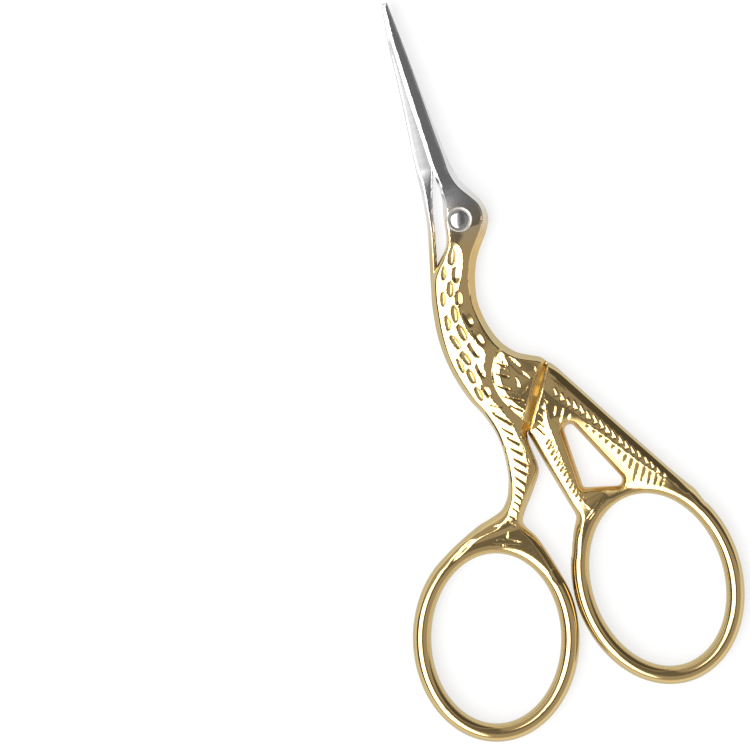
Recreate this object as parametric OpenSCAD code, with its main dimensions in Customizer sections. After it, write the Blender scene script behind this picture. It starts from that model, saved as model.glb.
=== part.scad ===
// Stork embroidery scissors, closed and lying on their back face.
// The origin is the pivot axis on the table plane. The blades point along +Y,
// the finger rings lie side by side below, and +Z rises out of the front face.

/* [Pivot and lap joint] */
// Thickness of each half where the two cross
half_t = 2.0; // [1.6:0.1:2.6]
// Space between the inner faces of the two halves
lap_gap = 0.06; // [0.04:0.01:0.12]
// Radius of the stork's head round the pivot
head_r = 4.45; // [4.2:0.05:4.9]
// Radius of the rivet's shank
rivet_r = 1.25; // [1:0.05:1.5]
// Radius of the rivet's eye-shaped head
eye_r = 1.95; // [1.8:0.05:2.3]
// Radius of the dome in the middle of the eye
dome_r = 1.45; // [1.2:0.05:1.55]
// Height of the dome above the groove round it
dome_h = 0.28; // [0.1:0.02:0.3]
// Fall of the ring round the dome, from its rim to the groove
eye_fall = 0.15; // [0.05:0.01:0.2]
// Height of the eye above the head
eye_h = 0.35; // [0.2:0.05:0.6]
// Radius of the rivet's spread tail in the back half
rivet_tail_r = 1.75; // [1.6:0.05:2.1]
// Thickness of the rivet's spread tail
rivet_tail_t = 0.6; // [0.4:0.05:0.9]
// Radial clearance of the rivet in the back half
run_gap = 0.03; // [0.02:0.01:0.08]

/* [Blades] */
// Length from the pivot to the tips
blade_len = 35.4; // [30:0.2:42]
// Height above the pivot at which the beak leaves the head
beak_y = 9.6; // [9:0.2:11]
// Cutting edge of the front blade, left of the pivot line
front_edge_x = 1.5; // [1.3:0.05:1.7]
// Back of the front blade at its root, right of the pivot line
front_back_x = 1.2; // [1:0.05:1.6]
// Back of the rear blade at its root, left of the pivot line
rear_back_x = 3.9; // [3.6:0.05:4.3]
// Cutting edge of the rear blade at mid length, left of the pivot line
rear_edge_x = 0.4; // [0.2:0.05:0.7]
// Width of each blade's tip
tip_w = 0.55; // [0.4:0.05:0.8]
// Thickness of a blade at its root
root_t = 1.7; // [1.3:0.05:2]
// Thickness of a blade at its tip
tip_t = 0.6; // [0.4:0.05:0.9]
// Thickness left on the cutting edge
edge_t = 0.12; // [0.08:0.02:0.3]
// Width of the ground bevel behind the cutting edge
bevel_w = 0.5; // [0.3:0.05:0.7]

/* [Head and neck] */
// Width of the rear half's strip along the throat
throat_w = 1.2; // [0.9:0.05:1.5]
// Width of the neck at its narrowest
neck_w = 7.1; // [6.4:0.1:8]
// Distance of that narrowest place below the pivot
neck_y = 12.6; // [11.8:0.2:13.4]
// How far the neck bows to the left of the pivot there
neck_bow = 4.9; // [4.4:0.1:5.4]
// Left edge of the breast, left of the pivot line
breast_x = 8.9; // [8.6:0.05:9.4]
// Height of the breast's fullest place below the pivot
breast_y = 18.0; // [17.4:0.2:18.6]

/* [Body and seam] */
// Shoulder corner on the bird's back, right of the pivot line
shoulder_x = 5.5; // [5.1:0.1:5.9]
// Shoulder corner on the bird's back, below the pivot
shoulder_y = 25.6; // [25:0.1:26.2]
// Lower end of the seam under the wing, left of the pivot line
hip_x = 0.6; // [0.4:0.1:1]
// Lower end of the seam under the wing, below the pivot
hip_y = 34.5; // [34:0.1:35]
// Width of the front leg at the hip
hip_w = 4.4; // [4:0.1:4.8]
// Space between body and tail along the seam
seam_gap = 0.15; // [0.1:0.01:0.25]
// Space between the step in the front half and the end of the rear plate
step_gap = 0.15; // [0.1:0.01:0.25]

/* [Front leg] */
// Height of the knee below the pivot
knee_y = 40.2; // [39.6:0.2:40.8]
// Width of the leg at the knee
knee_w = 4.9; // [4.4:0.1:5.3]
// Back of the knee, left of the pivot line
knee_x = 0.55; // [0.5:0.05:0.9]
// Height of the ankle below the pivot
ankle_y = 47.4; // [47:0.1:47.8]
// Back of the ankle, left of the pivot line
ankle_x = 5.6; // [5.2:0.1:6]

/* [Finger rings] */
// Thickness of the handles at the rings
handle_t = 3.5; // [3:0.1:4]
// Width of the ring bar
ring_bar = 2.9; // [2.5:0.1:3]
// Half the length of the right ring's hole
hole_half_l = 13.6; // [12:0.1:15]
// Half the width of the right ring's hole
hole_half_w = 10.15; // [9:0.05:10.6]
// How much shorter and narrower each half of the left hole is
left_less_l = 0.5; // [0:0.1:0.8]
left_less_w = 0.15; // [0:0.05:0.4]
// Lean of the left ring, in degrees
left_lean = 18; // [14:1:20]
// Line between the closed rings, left of the pivot line
meet_x = 1.88; // [1.6:0.04:2.2]
// Space between the closed rings
meet_gap = 0.27; // [0.15:0.03:0.45]
// Top of the right hole below the pivot
right_hole_top = 48.8; // [48.4:0.1:49.2]
// Top of the left hole below the pivot
left_hole_top = 49.95; // [49.6:0.05:50.3]

/* [Tail] */
// Where the tail's top edge meets the right ring, in degrees round the ring
kink_a = 43.7; // [40:0.5:47]
// Where the foot of the rear leg meets the right ring, in degrees round the ring
foot_a = 129.6; // [126:0.5:133]
// How far the foot stands out from the ring
foot_out = 1.1; // [0.7:0.1:1.4]
// Swell of the tail's top edge below the shoulder
tail_swell = 0.8; // [0.4:0.1:1.2]
// Left side of the window, right of the pivot line
window_x = 4.95; // [4.6:0.05:5.2]
// Top of the window below the pivot
window_top = 35.3; // [34.7:0.1:35.8]
// Height of the window's left side
window_h = 9.5; // [8.8:0.1:9.8]
// Width of the window at its foot
window_w = 6.15; // [5.6:0.05:6.4]
// How far the window's foot falls from left to right
window_fall = 1.3; // [1:0.1:1.6]
// Radius of the window's upper and lower right corners
window_r = 0.9; // [0.7:0.05:1.1]
// Width of the bevel round the window
window_bevel = 0.45; // [0.3:0.05:0.6]

/* [Edges] */
// Width of the rolled edge round the neck, body and tail
roll_w = 1.35; // [1:0.05:1.6]
// Height of the rolled edge
roll_h = 1.3; // [1:0.05:1.5]
// Small break on the edges of the inner faces
break_w = 0.06; // [0.04:0.01:0.1]
// Steps between two stations of a curve
curve_steps = 3; // [2:1:4]
// Steps round each rolled edge
roll_steps = 3; // [2:1:4]
// Stations round each finger ring
ring_steps = 56; // [40:4:72]
// Points round the ring bar
bar_steps = 16; // [12:4:16]

/* [Hidden] */
gold = [0.80, 0.70, 0.48];
steel = [0.62, 0.62, 0.63];
// How far each cutter reaches past what it cuts
over = 1;
// How far the rear plate's edge hides under the front plate's
under = 0.1;
// How far the rear plate reaches into the tail, and its corner at the lower end
root_reach = 1;
root_x = 0.35;
// Inner face of the front half, and the top of its head
lap_z = half_t + lap_gap;
top_z = lap_z + half_t;
// Ends of the seam, its direction downwards and its normal towards the tail
seam_top = [shoulder_x, -shoulder_y];
seam_low = [-hip_x, -hip_y];
seam_dir = (seam_low - seam_top) / norm(seam_low - seam_top);
seam_out = [-seam_dir[1], seam_dir[0]];
// Radius of the step in the front half, about the pivot
lap_r = norm(seam_low);
// Corner where the throat strip meets the neck
throat = [-neck_bow - neck_w / 2 + 1.25, -neck_y + 5.4];
// Half sizes of the left hole
left_half_l = hole_half_l - left_less_l;
left_half_w = hole_half_w - left_less_w;
// Reach of each ring towards the other
left_reach = norm([(left_half_w + ring_bar) * cos(left_lean), (left_half_l + ring_bar) * sin(left_lean)]);
right_reach = hole_half_w + ring_bar;
// Middles of the rings
left_ring = [-meet_x - meet_gap / 2 - left_reach, -left_hole_top - left_half_l];
right_ring = [-meet_x + meet_gap / 2 + right_reach, -right_hole_top - hole_half_l];
// Bends at the foot and at the tail's corner, and the normal of its top edge
foot = right_outer(foot_a, foot_out);
kink = right_outer(kink_a, 0.25);
top_dir = (kink - seam_top) / norm(kink - seam_top);
top_out = [-top_dir[1], top_dir[0]];

// Curves

function mix(a, b, t) = a + (b - a) * t;

// Catmull-Rom curve through a list of vectors of any length
function curve_point(p, i, t) = let(
    a = p[max(i - 1, 0)],
    b = p[i],
    c = p[i + 1],
    d = p[min(i + 2, len(p) - 1)]
  ) 0.5 * (2 * b + (c - a) * t + (2 * a - 5 * b + 4 * c - d) * t * t
    + (3 * b - a - 3 * c + d) * t * t * t);

function curve(p, n) = concat(
    [for (i = [0 : len(p) - 2], k = [0 : n - 1]) curve_point(p, i, k / n)],
    [p[len(p) - 1]]
  );

// Thickness of a half at a height above the pivot, thinner towards the blade
function plate_t(y) = y < head_r
  ? half_t
  : mix(half_t, root_t, min(1, (y - head_r) / (beak_y - head_r)));

// Top of the handles, which slopes from the body down to the rings
function handle_top(y) = let(
    down = (-y - shoulder_y) / (ankle_y - shoulder_y)
  ) mix(top_z, handle_t, min(1, max(0, down)));

// Sections and lofts

// A quarter of an ellipse, as offsets from the middle of a rolled edge
function roll(w, h, from) = [
  for (k = [0 : roll_steps]) let(a = from + k * 90 / roll_steps) [w * cos(a), h * sin(a)]
];

// Cross-section between two edge points, with rolled edges below and above
function plate_section(l, r, z0, z1, low, high) = let(
    w = norm(r - l),
    u = (r - l) / w,
    lw = min(low[0], w * 0.45),
    hw = min(high[0], w * 0.45),
    flat = concat(
      [for (q = roll(lw, low[1], 180)) [lw + q[0], z0 + low[1] + q[1]]],
      [for (q = roll(lw, low[1], 270)) [w - lw + q[0], z0 + low[1] + q[1]]],
      [for (q = roll(hw, high[1], 0)) [w - hw + q[0], z1 - high[1] + q[1]]],
      [for (q = roll(hw, high[1], 90)) [hw + q[0], z1 - high[1] + q[1]]]
    )
  ) [for (q = flat) [l[0] + u[0] * q[0], l[1] + u[1] * q[0], q[1]]];

// Skin over a row of sections, closed at both ends or joined into a ring
module loft(sections, ring = false) {
  n = len(sections[0]);
  m = len(sections);
  points = [for (s = sections, p = s) p];
  last = ring ? m - 1 : m - 2;
  sides = [for (j = [0 : last], i = [0 : n - 1], k = [0, 1]) let(
      a = j * n + i,
      b = j * n + (i + 1) % n,
      c = ((j + 1) % m) * n + i,
      d = ((j + 1) % m) * n + (i + 1) % n
    ) k == 0 ? [a, c, b] : [b, c, d]];
  ends = ring ? [] : [[for (i = [0 : n - 1]) i], [for (i = [n - 1 : -1 : 0]) (m - 1) * n + i]];
  polyhedron(points, concat(sides, ends), convexity = 8);
}

// Outline of the neck and body, which both halves share

// Point on an oval about c, at an angle counted from its right side
function ring_point(c, half_w, half_l, lean, a) = let(
    x = half_w * cos(a),
    y = half_l * sin(a)
  ) [c[0] + x * cos(lean) + y * sin(lean), c[1] - x * sin(lean) + y * cos(lean)];

// Points at a distance out from the outer edge of each ring
function left_outer(a, out) = ring_point(
  left_ring, left_half_w + ring_bar + out, left_half_l + ring_bar + out, left_lean, a);
function right_outer(a, out) = ring_point(
  right_ring, hole_half_w + ring_bar + out, hole_half_l + ring_bar + out, 0, a);

// Rows of left edge and right edge from the beak down to the shoulder
neck_rows = [
  [-front_edge_x + 0.05, beak_y, front_back_x, beak_y],
  [-front_edge_x, 6.2, 1.95, 6.2],
  [-front_edge_x - 0.1, 3.6, 3.3, 3.6],
  [-head_r * 0.52, 1.0, head_r * 0.974, 1.0],
  [-head_r * 0.61, -1.4, head_r * 0.949, -1.4],
  [-head_r * 0.74, -3.4, head_r * 0.74, -3.0],
  [throat[0] + 1.9, throat[1] + 1.7, 1.9, -4.75],
  [throat[0] + 0.3, throat[1] + 0.2, 0.25, -neck_y + 5.6],
  [-neck_bow - neck_w / 2 + 0.45, -neck_y + 2.6, -neck_bow + neck_w / 2 + 0.5, -neck_y + 2.6],
  [-neck_bow - neck_w / 2, -neck_y, -neck_bow + neck_w / 2, -neck_y],
  [-breast_x, -breast_y + 2, -1.15, -breast_y + 2.2],
  [-breast_x, -breast_y - 1.5, 0.1, -breast_y - 2],
  [-breast_x + 0.5, -breast_y - 5.2, 2.3, -breast_y - 4.4],
  [-breast_x + 1.5, -breast_y - 8.8, seam_top[0] - 0.7, seam_top[1] + 1.7]
];

// Left edge beside the seam, where the right edge runs straight along it
seam_rows = [
  [-breast_x + 2.75, -breast_y - 11.6],
  [-hip_x - hip_w - 0.5, -hip_y + 3.1],
  [-hip_x - hip_w - 0.15, -hip_y + 1.4],
  [-hip_x - hip_w, -hip_y - 0.4]
];

// Rows from the hip over the knee and ankle into the left ring
leg_rows = [
  [-hip_x - hip_w, -hip_y - 3, -hip_x, -hip_y - 3],
  [-knee_x - knee_w, -knee_y, -knee_x, -knee_y],
  [-knee_x - knee_w - 1, -knee_y - 2.5, -knee_x - 1.75, -knee_y - 2.2],
  [-ankle_x - 2.1, -ankle_y + 3, -ankle_x + 1.4, -ankle_y + 2.5],
  [-ankle_x - 4.1, -ankle_y + 2.25, -ankle_x, -ankle_y],
  [-ankle_x - 6.8, -ankle_y + 1.65, -ankle_x + 0.6, -ankle_y - 1.4],
  [-ankle_x - 9.4, -ankle_y + 0.7, -ankle_x + 1.5, -ankle_y - 3],
  [-ankle_x - 12, -ankle_y - 0.75, -ankle_x + 1.9, -ankle_y - 4.3],
  concat(left_outer(132, -0.23), left_outer(40, -0.23))
];

// All rows in order
seam_count = len(seam_rows);
body_rows = concat(
  neck_rows,
  [for (i = [0 : seam_count - 1]) concat(seam_rows[i], mix(seam_top, seam_low, i / (seam_count - 1)))],
  leg_rows
);
first_seam = len(neck_rows);
last_seam = first_seam + seam_count - 1;

function body_point(i, t) = let(
    p = curve_point(body_rows, i, t),
    q = mix(body_rows[i], body_rows[i + 1], t)
  ) i >= first_seam && i < last_seam ? [p[0], p[1], q[2], q[3]] : p;

function body_stations(from, to) = concat(
    [for (i = [from : to - 1], k = [0 : curve_steps - 1]) body_point(i, k / curve_steps)],
    [body_rows[to]]
  );

// Front half

// Cross-section of a blade lying on its inner face, from the cutting edge to the back
function blade_section(edge, back, y, z, t, up) = let(
    w = back - edge,
    bevel = min(bevel_w, abs(w) * 0.3) * sign(w),
    p = [
      [edge, 0],
      [back, 0],
      [back, t * 0.5],
      [back - w * 0.06, t * 0.82],
      [back - w * 0.2, t],
      [edge + bevel, t * 0.72],
      [edge, edge_t]
    ]
  ) [for (q = p) [q[0], y, z + up * q[1]]];

// Rows of height, cutting edge, back and thickness from the tip down to the head
front_blade_rows = [
  [blade_len, tip_w * 0.3 - tip_w, tip_w * 0.3, tip_t],
  [blade_len - 5, -front_edge_x * 0.76, 0.4, mix(root_t, tip_t, 0.85)],
  [mix(beak_y, blade_len, 0.6), -front_edge_x * 0.92, front_back_x * 0.5, mix(root_t, tip_t, 0.6)],
  [mix(beak_y, blade_len, 0.22), -front_edge_x, front_back_x * 0.8, mix(root_t, tip_t, 0.2)],
  [beak_y, -front_edge_x, front_back_x, root_t],
  [beak_y - 2.6, -front_edge_x, 1.65, mix(half_t, root_t, 0.5)],
  [4.4, -front_edge_x, 2.8, half_t]
];

module front_blade() {
  loft([for (p = curve(front_blade_rows, curve_steps)) blade_section(p[1], p[2], p[0], lap_z, p[3], 1)]);
}

// Upper layer of the neck and body, flat where it slides on the rear half
module front_plate() {
  loft([for (p = body_stations(0, last_seam + 1)) let(
      z = min(lap_z + plate_t(p[1]), handle_top(min(p[1], p[3])))
    ) plate_section([p[0], p[1]], [p[2], p[3]], lap_z, z, [break_w, break_w], [roll_w, roll_h])]);
}

// Full-thickness leg below the step, from the hip to the ring
module front_leg() {
  loft([for (p = body_stations(last_seam - 1, len(body_rows) - 1)) let(
      z = handle_top((p[1] + p[3]) / 2)
    ) plate_section([p[0], p[1]], [p[2], p[3]], 0, z, [roll_w, roll_h], [roll_w, roll_h])]);
}

// Finger rings

// Oval bar swept round the hole
module finger_ring(c, half_w, half_l, lean) {
  sections = [for (j = [0 : ring_steps - 1]) let(
      a = j * 360 / ring_steps,
      p = ring_point(c, half_w + ring_bar / 2, half_l + ring_bar / 2, lean, a),
      q = ring_point([0, 0], half_l + ring_bar / 2, half_w + ring_bar / 2, 0, a),
      n = [q[0] * cos(lean) + q[1] * sin(lean), -q[0] * sin(lean) + q[1] * cos(lean)] / norm(q)
    ) [for (k = [0 : bar_steps - 1]) let(
        b = -(k + 0.5) * 360 / bar_steps,
        s = ring_bar / 2 * sign(cos(b)) * pow(abs(cos(b)), 0.85),
        h = handle_t / 2 * sign(sin(b)) * pow(abs(sin(b) / cos(180 / bar_steps)), 0.85)
      ) [p[0] + n[0] * s, p[1] + n[1] * s, handle_t / 2 + h]]];
  loft(sections, ring = true);
}

// Clears the finger hole through whatever reaches over it
module ring_hole(c, half_w, half_l, lean) {
  translate([c[0], c[1], -over])
    rotate([0, 0, -lean])
      linear_extrude(top_z + 2 * over)
        polygon([for (j = [0 : ring_steps - 1]) [
          (half_w + ring_bar * 0.3) * cos(j * 360 / ring_steps),
          (half_l + ring_bar * 0.3) * sin(j * 360 / ring_steps)]]);
}

module front_half() {
  color(gold)
    difference() {
      union() {
        front_blade();
        front_plate();
        difference() {
          front_leg();
          translate([0, 0, -over])
            cylinder(r = lap_r, h = lap_z + over, $fn = 180);
          ring_hole(left_ring, left_half_w, left_half_l, left_lean);
        }
        finger_ring(left_ring, left_half_w, left_half_l, left_lean);
      }
      translate([0, 0, lap_z - over])
        cylinder(r = rivet_r, h = half_t + 2 * over, $fn = 64);
    }
}

// Back half

// Rows of height, cutting edge, back and thickness from the tip down to the head
rear_blade_rows = [
  [blade_len, 0.15 - tip_w * 0.3, -tip_w * 1.4, tip_t],
  [blade_len - 5, -rear_edge_x * 0.7, mix(-rear_back_x, -tip_w, 0.72), mix(root_t, tip_t, 0.85)],
  [mix(beak_y, blade_len, 0.6), -rear_edge_x, mix(-rear_back_x, -tip_w, 0.56), mix(root_t, tip_t, 0.6)],
  [mix(beak_y, blade_len, 0.22), -rear_edge_x, mix(-rear_back_x, -tip_w, 0.2), mix(root_t, tip_t, 0.2)],
  [beak_y + 1, 0.35, -rear_back_x + 0.12, root_t * 0.97],
  [beak_y - 1.1, 1.1, -rear_back_x - 0.1, plate_t(beak_y - 1.1)]
];

module rear_blade() {
  loft([for (p = curve(rear_blade_rows, curve_steps)) blade_section(p[1], p[2], p[0], half_t, p[3], -1)]);
}

// Strip along the throat, which leaves the slit open beside the head
throat_rows = [
  [-rear_back_x + 0.1, beak_y + 0.6, -front_edge_x, beak_y + 0.6],
  [-rear_back_x - 0.1, beak_y - 1.4, -front_edge_x, beak_y - 1.4],
  [-rear_back_x - 0.4, 5.2, -rear_back_x + throat_w + 0.15, 5.2],
  [-rear_back_x - 0.85, 2, -rear_back_x - 0.85 + throat_w, 2],
  [-rear_back_x - 1.25, 0, -rear_back_x - 1.25 + throat_w, 0],
  [-rear_back_x - 1.9, -2.5, -rear_back_x - 1.9 + throat_w, -2.5],
  [throat[0] + 0.75, throat[1] + 2.4, throat[0] + 0.75 + throat_w, throat[1] + 2.2],
  [throat[0] + 0.15, throat[1], throat[0] + 0.15 + throat_w, throat[1]],
  [throat[0] - 0.1, throat[1] - 1, throat[0] + throat_w, throat[1] - 1]
];

module throat_strip() {
  loft([for (p = curve(throat_rows, curve_steps)) let(
      z = half_t - plate_t(p[1])
    ) plate_section([p[0], p[1]], [p[2], p[3]], z, half_t,
      [throat_w * 0.3, roll_h * 0.5], [break_w, break_w])]);
}

// Lower layer of the neck and body, under the front half's. It reaches into the
// tail past the seam, and its lower end swings clear of the step in the front half.
module rear_plate() {
  function lower_end(x, r) = [x, -sqrt(r * r - x * x)];
  stations = concat(
    [for (p = body_stations(0, last_seam - 1)) let(
        reach = p[3] > seam_top[1] ? [-under, 0] : (seam_gap + root_reach) * seam_out
      ) p + [0, 0, reach[0], reach[1]]],
    [concat(lower_end(-hip_x - hip_w, lap_r - step_gap), lower_end(root_x, lap_r - step_gap))]
  );
  loft([for (p = stations) let(
      z = half_t - plate_t(p[1])
    ) plate_section([p[0], p[1]], [p[2], p[3]], z, half_t, [roll_w, roll_h], [break_w, break_w])]);
}

// Row across the tail, from a share of the way down the rear leg to a share of the
// way along the tail's top edge, which swells out there
function tail_row(leg_share, top_share, swell) = concat(
  mix(seam_low, foot, leg_share),
  mix(seam_top, kink, top_share) + tail_swell * swell * top_out);

tail_rows = [
  concat(seam_low + seam_gap * seam_out, seam_top + seam_gap * seam_out - 0.35 * seam_dir),
  tail_row(0.13, 0.076, 1),
  tail_row(0.34, 0.264, 0.82),
  tail_row(0.565, 0.474, 0.57),
  tail_row(0.79, 0.678, 0.49),
  tail_row(1, 0.883, 0.16),
  concat(foot + [-0.75, -1.7], kink),
  concat(foot + [-1.55, -3.4], kink + [0.5, -1]),
  concat(right_outer(151, -0.23), right_outer(38, -0.23))
];

// Window in the tail, with a bevelled rim above and below
module tail_window() {
  small_r = window_r * 0.65;
  corners = [
    [window_x + window_r, -window_top - window_r, window_r],
    [window_x + small_r, -window_top - window_h, small_r],
    [window_x + window_w - window_r, -window_top - window_h - window_fall + window_r * 0.35, window_r]
  ];
  upper_z = handle_top(corners[1][1]) - window_bevel;
  // Bottom, height, and how far each end spreads beyond the opening
  cuts = [
    [-over, top_z + 2 * over, 0, 0],
    [-over, window_bevel + over, window_bevel + over, 0],
    [upper_z, 2 * over, 0, 2 * over]
  ];
  for (cut = cuts)
    hull()
      for (c = corners)
        translate([c[0], c[1], cut[0]])
          cylinder(r1 = c[2] + cut[2], r2 = c[2] + cut[3], h = cut[1], $fn = 24);
}

module rear_tail() {
  difference() {
    loft([for (p = curve(tail_rows, curve_steps)) let(
        z = handle_top((p[1] + p[3]) / 2)
      ) plate_section([p[0], p[1]], [p[2], p[3]], 0, z, [roll_w, roll_h], [roll_w, roll_h])]);
    ring_hole(right_ring, hole_half_w, hole_half_l, 0);
  }
}

module back_half() {
  color(gold)
    difference() {
      union() {
        rear_blade();
        throat_strip();
        rear_plate();
        rear_tail();
        finger_ring(right_ring, hole_half_w, hole_half_l, 0);
      }
      tail_window();
      translate([0, 0, -over])
        cylinder(r = rivet_r + run_gap, h = half_t + 2 * over, $fn = 64);
      translate([0, 0, -over])
        cylinder(r = rivet_tail_r + run_gap, h = over + rivet_tail_t + run_gap, $fn = 64);
    }
}

// Rivet

// Turned about the pivot: spread tail, shank, and a head whose ring falls inwards to a
// narrow groove, with a dome inside it
module rivet() {
  rim = 0.08;
  groove_r = dome_r + 0.05;
  rise = min(dome_h, eye_h - 0.06);
  fall = min(eye_fall, rise);
  shank = [
    [0, 0],
    [rivet_tail_r, 0],
    [rivet_tail_r, rivet_tail_t],
    [rivet_r, rivet_tail_t],
    [rivet_r, top_z],
    [eye_r, top_z]
  ];
  color(steel)
    rotate_extrude($fn = 96)
      polygon(concat(
        shank,
        [for (a = [0 : 15 : 90]) [eye_r - rim + rim * cos(a), top_z + eye_h - rim + rim * sin(a)]],
        [[groove_r, top_z + eye_h - fall], [groove_r - 0.01, top_z + eye_h - rise]],
        [for (a = [0 : 15 : 90]) [dome_r * cos(a), top_z + eye_h - rise + rise * sin(a)]]
      ));
}

front_half();
back_half();
rivet();
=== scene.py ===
import math
import bpy
import numpy as np
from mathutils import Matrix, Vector
from mathutils.geometry import delaunay_2d_cdt


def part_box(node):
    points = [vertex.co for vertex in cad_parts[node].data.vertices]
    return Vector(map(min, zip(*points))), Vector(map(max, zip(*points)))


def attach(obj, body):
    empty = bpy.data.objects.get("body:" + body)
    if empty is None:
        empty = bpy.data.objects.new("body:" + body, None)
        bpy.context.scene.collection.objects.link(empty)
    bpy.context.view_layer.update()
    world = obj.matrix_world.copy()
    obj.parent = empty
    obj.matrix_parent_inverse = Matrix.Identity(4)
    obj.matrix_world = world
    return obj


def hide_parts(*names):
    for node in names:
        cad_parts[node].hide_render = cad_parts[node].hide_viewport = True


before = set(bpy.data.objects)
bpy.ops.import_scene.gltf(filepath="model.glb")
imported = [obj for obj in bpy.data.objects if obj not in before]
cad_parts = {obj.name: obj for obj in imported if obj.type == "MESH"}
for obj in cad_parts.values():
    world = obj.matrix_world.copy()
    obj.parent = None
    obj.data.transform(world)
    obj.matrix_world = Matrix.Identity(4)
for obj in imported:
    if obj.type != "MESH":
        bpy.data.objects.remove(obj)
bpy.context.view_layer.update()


# Back half

# The back half is one forging in steel: rear blade, throat strip, the lower layer of
# the neck and body, the tail with its window, leg and right finger ring. Its sides draw
# in above and below the parting line that runs round its edge. Lengths are in mm.

LAP_LOW, LAP_HIGH = 2.0, 2.06
# A finger ring's bar is round: its half width, and the form of its edge
BAR = 1.45
RING_PART = 1.75
BAR_FORM = (BAR, 1.0, 0.1, 0, 1, RING_PART)
# No edge's form reaches farther in than this
EDGE_REACH = 3.2


def smooth_line(points, step):
    """Even line through rows of x, y and any further numbers (Catmull-Rom)."""
    p = np.array(points, float)
    ext = np.vstack([2 * p[0] - p[1], p, 2 * p[-1] - p[-2]])
    rows = []
    for i in range(len(p) - 1):
        a, b, c, d = ext[i:i + 4]
        t = np.linspace(0, 1, 25)[:-1, None]
        rows.append(0.5 * (2 * b + (c - a) * t + (2 * a - 5 * b + 4 * c - d) * t**2
                           + (3 * b - a - 3 * c + d) * t**3))
    rows = np.vstack(rows + [p[-1:]])
    run = np.concatenate([[0], np.cumsum(np.linalg.norm(np.diff(rows[:, :2], axis=0), axis=1))])
    at = np.linspace(0, run[-1], max(2, int(round(run[-1] / step)) + 1))
    return np.column_stack([np.interp(at, run, rows[:, k]) for k in range(rows.shape[1])])


def edge_line(points):
    """Rows of x, y and an edge's form: width of its band, share of the height reached
    there, width over which the rest is reached, share at the outline itself, roundness,
    and height of the parting line. What a row leaves out stays as in the row before."""
    form = [0.8, 0.84, 0.35, 0.04, 0.0, LAP_HIGH]
    rows = []
    for point in points:
        given = list(point[2:])
        form = given + form[len(given):]
        rows.append(tuple(point[:2]) + tuple(form))
    return smooth_line(rows, 0.22)


def oval(centre, half_w, half_l, lean, start, end):
    """Arc of an oval between two angles, as rows of x, y and a round bar's form."""
    n = int(abs(math.radians(end - start)) * (half_w + half_l) / 2 / 0.3) + 1
    a = np.radians(np.linspace(start, end, n))
    x, y, t = half_w * np.cos(a), half_l * np.sin(a), math.radians(lean)
    arc = [centre[0] + x * math.cos(t) + y * math.sin(t), centre[1] - x * math.sin(t) + y * math.cos(t)]
    return np.column_stack(arc + [np.full(n, value) for value in BAR_FORM])


def by_height(points, count=1500):
    """Groups of points that lie at about the same height, as index lists."""
    order = np.argsort(points[:, 1])
    return [order[lo:lo + count] for lo in range(0, len(order), count)]


def nearest_on(points, line, reach=50):
    """Distance from each point to a line, which side it lies on, and the line's numbers
    there. Nothing farther than the reach is looked at."""
    a, b = line[:-1, :2], line[1:, :2]
    out_d, out_s = np.full(len(points), 1e9), np.zeros(len(points))
    out_v = np.tile(line[0, 2:], (len(points), 1))
    low, top = np.minimum(a[:, 1], b[:, 1]), np.maximum(a[:, 1], b[:, 1])
    for group in by_height(points):
        p = points[group]
        near = np.nonzero((top > p[:, 1].min() - reach) & (low < p[:, 1].max() + reach))[0]
        if not len(near):
            continue
        start, ab = a[near], b[near] - a[near]
        length = np.maximum((ab**2).sum(1), 1e-12)
        dx, dy = p[:, 0, None] - start[:, 0], p[:, 1, None] - start[:, 1]
        t = np.clip((dx * ab[:, 0] + dy * ab[:, 1]) / length, 0, 1)
        d = (dx - ab[:, 0] * t)**2 + (dy - ab[:, 1] * t)**2
        k = d.argmin(1)
        r = np.arange(len(k))
        tt = t[r, k][:, None]
        out_d[group] = np.sqrt(d[r, k])
        out_s[group] = ab[k, 0] * dy[r, k] - ab[k, 1] * dx[r, k]
        out_v[group] = line[near[k], 2:] * (1 - tt) + line[near[k] + 1, 2:] * tt
    return out_d, out_s, out_v


def inside(points, loop):
    """Even-odd test of points against a closed loop."""
    a, b = loop, np.roll(loop, -1, axis=0)
    low, top = np.minimum(a[:, 1], b[:, 1]), np.maximum(a[:, 1], b[:, 1])
    hit = np.zeros(len(points), bool)
    for group in by_height(points):
        x, y = points[group, 0, None], points[group, 1, None]
        near = (top >= y.min()) & (low <= y.max())
        p, q = a[near], b[near]
        cross = (p[:, 1] > y) != (q[:, 1] > y)
        with np.errstate(divide="ignore", invalid="ignore"):
            xi = p[:, 0] + (y - p[:, 1]) * (q[:, 0] - p[:, 0]) / (q[:, 1] - p[:, 1])
        hit[group] = (np.logical_and(cross, x < xi).sum(1) % 2).astype(bool)
    return hit


def drawn_in(points, chains, face, under=False):
    """Heights of a forged face whose edges draw in from the parting line. face is the
    full height at each point, above the parting line or, underneath, below it."""
    up = None
    for chain in chains:
        d, _, form = nearest_on(points, chain, EDGE_REACH)
        w, b, s, e0, rnd, part = form.T
        rest = 1 - (1 - np.clip((d - w) / s, 0, 1))**2
        flat = np.where(d < w, e0 + (b - e0) * d / w, b + (1 - b) * rest)
        bow = np.sqrt(np.clip(1 - (1 - np.clip(d / w, 0, 1))**2, 0, 1))
        if under:
            part = part * rnd + np.minimum(part, 1.0) * (1 - rnd)
        z = part + (face - part) * (flat * (1 - rnd) + bow * rnd)
        up = z if up is None else (np.maximum(up, z) if under else np.minimum(up, z))
    return up


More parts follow.
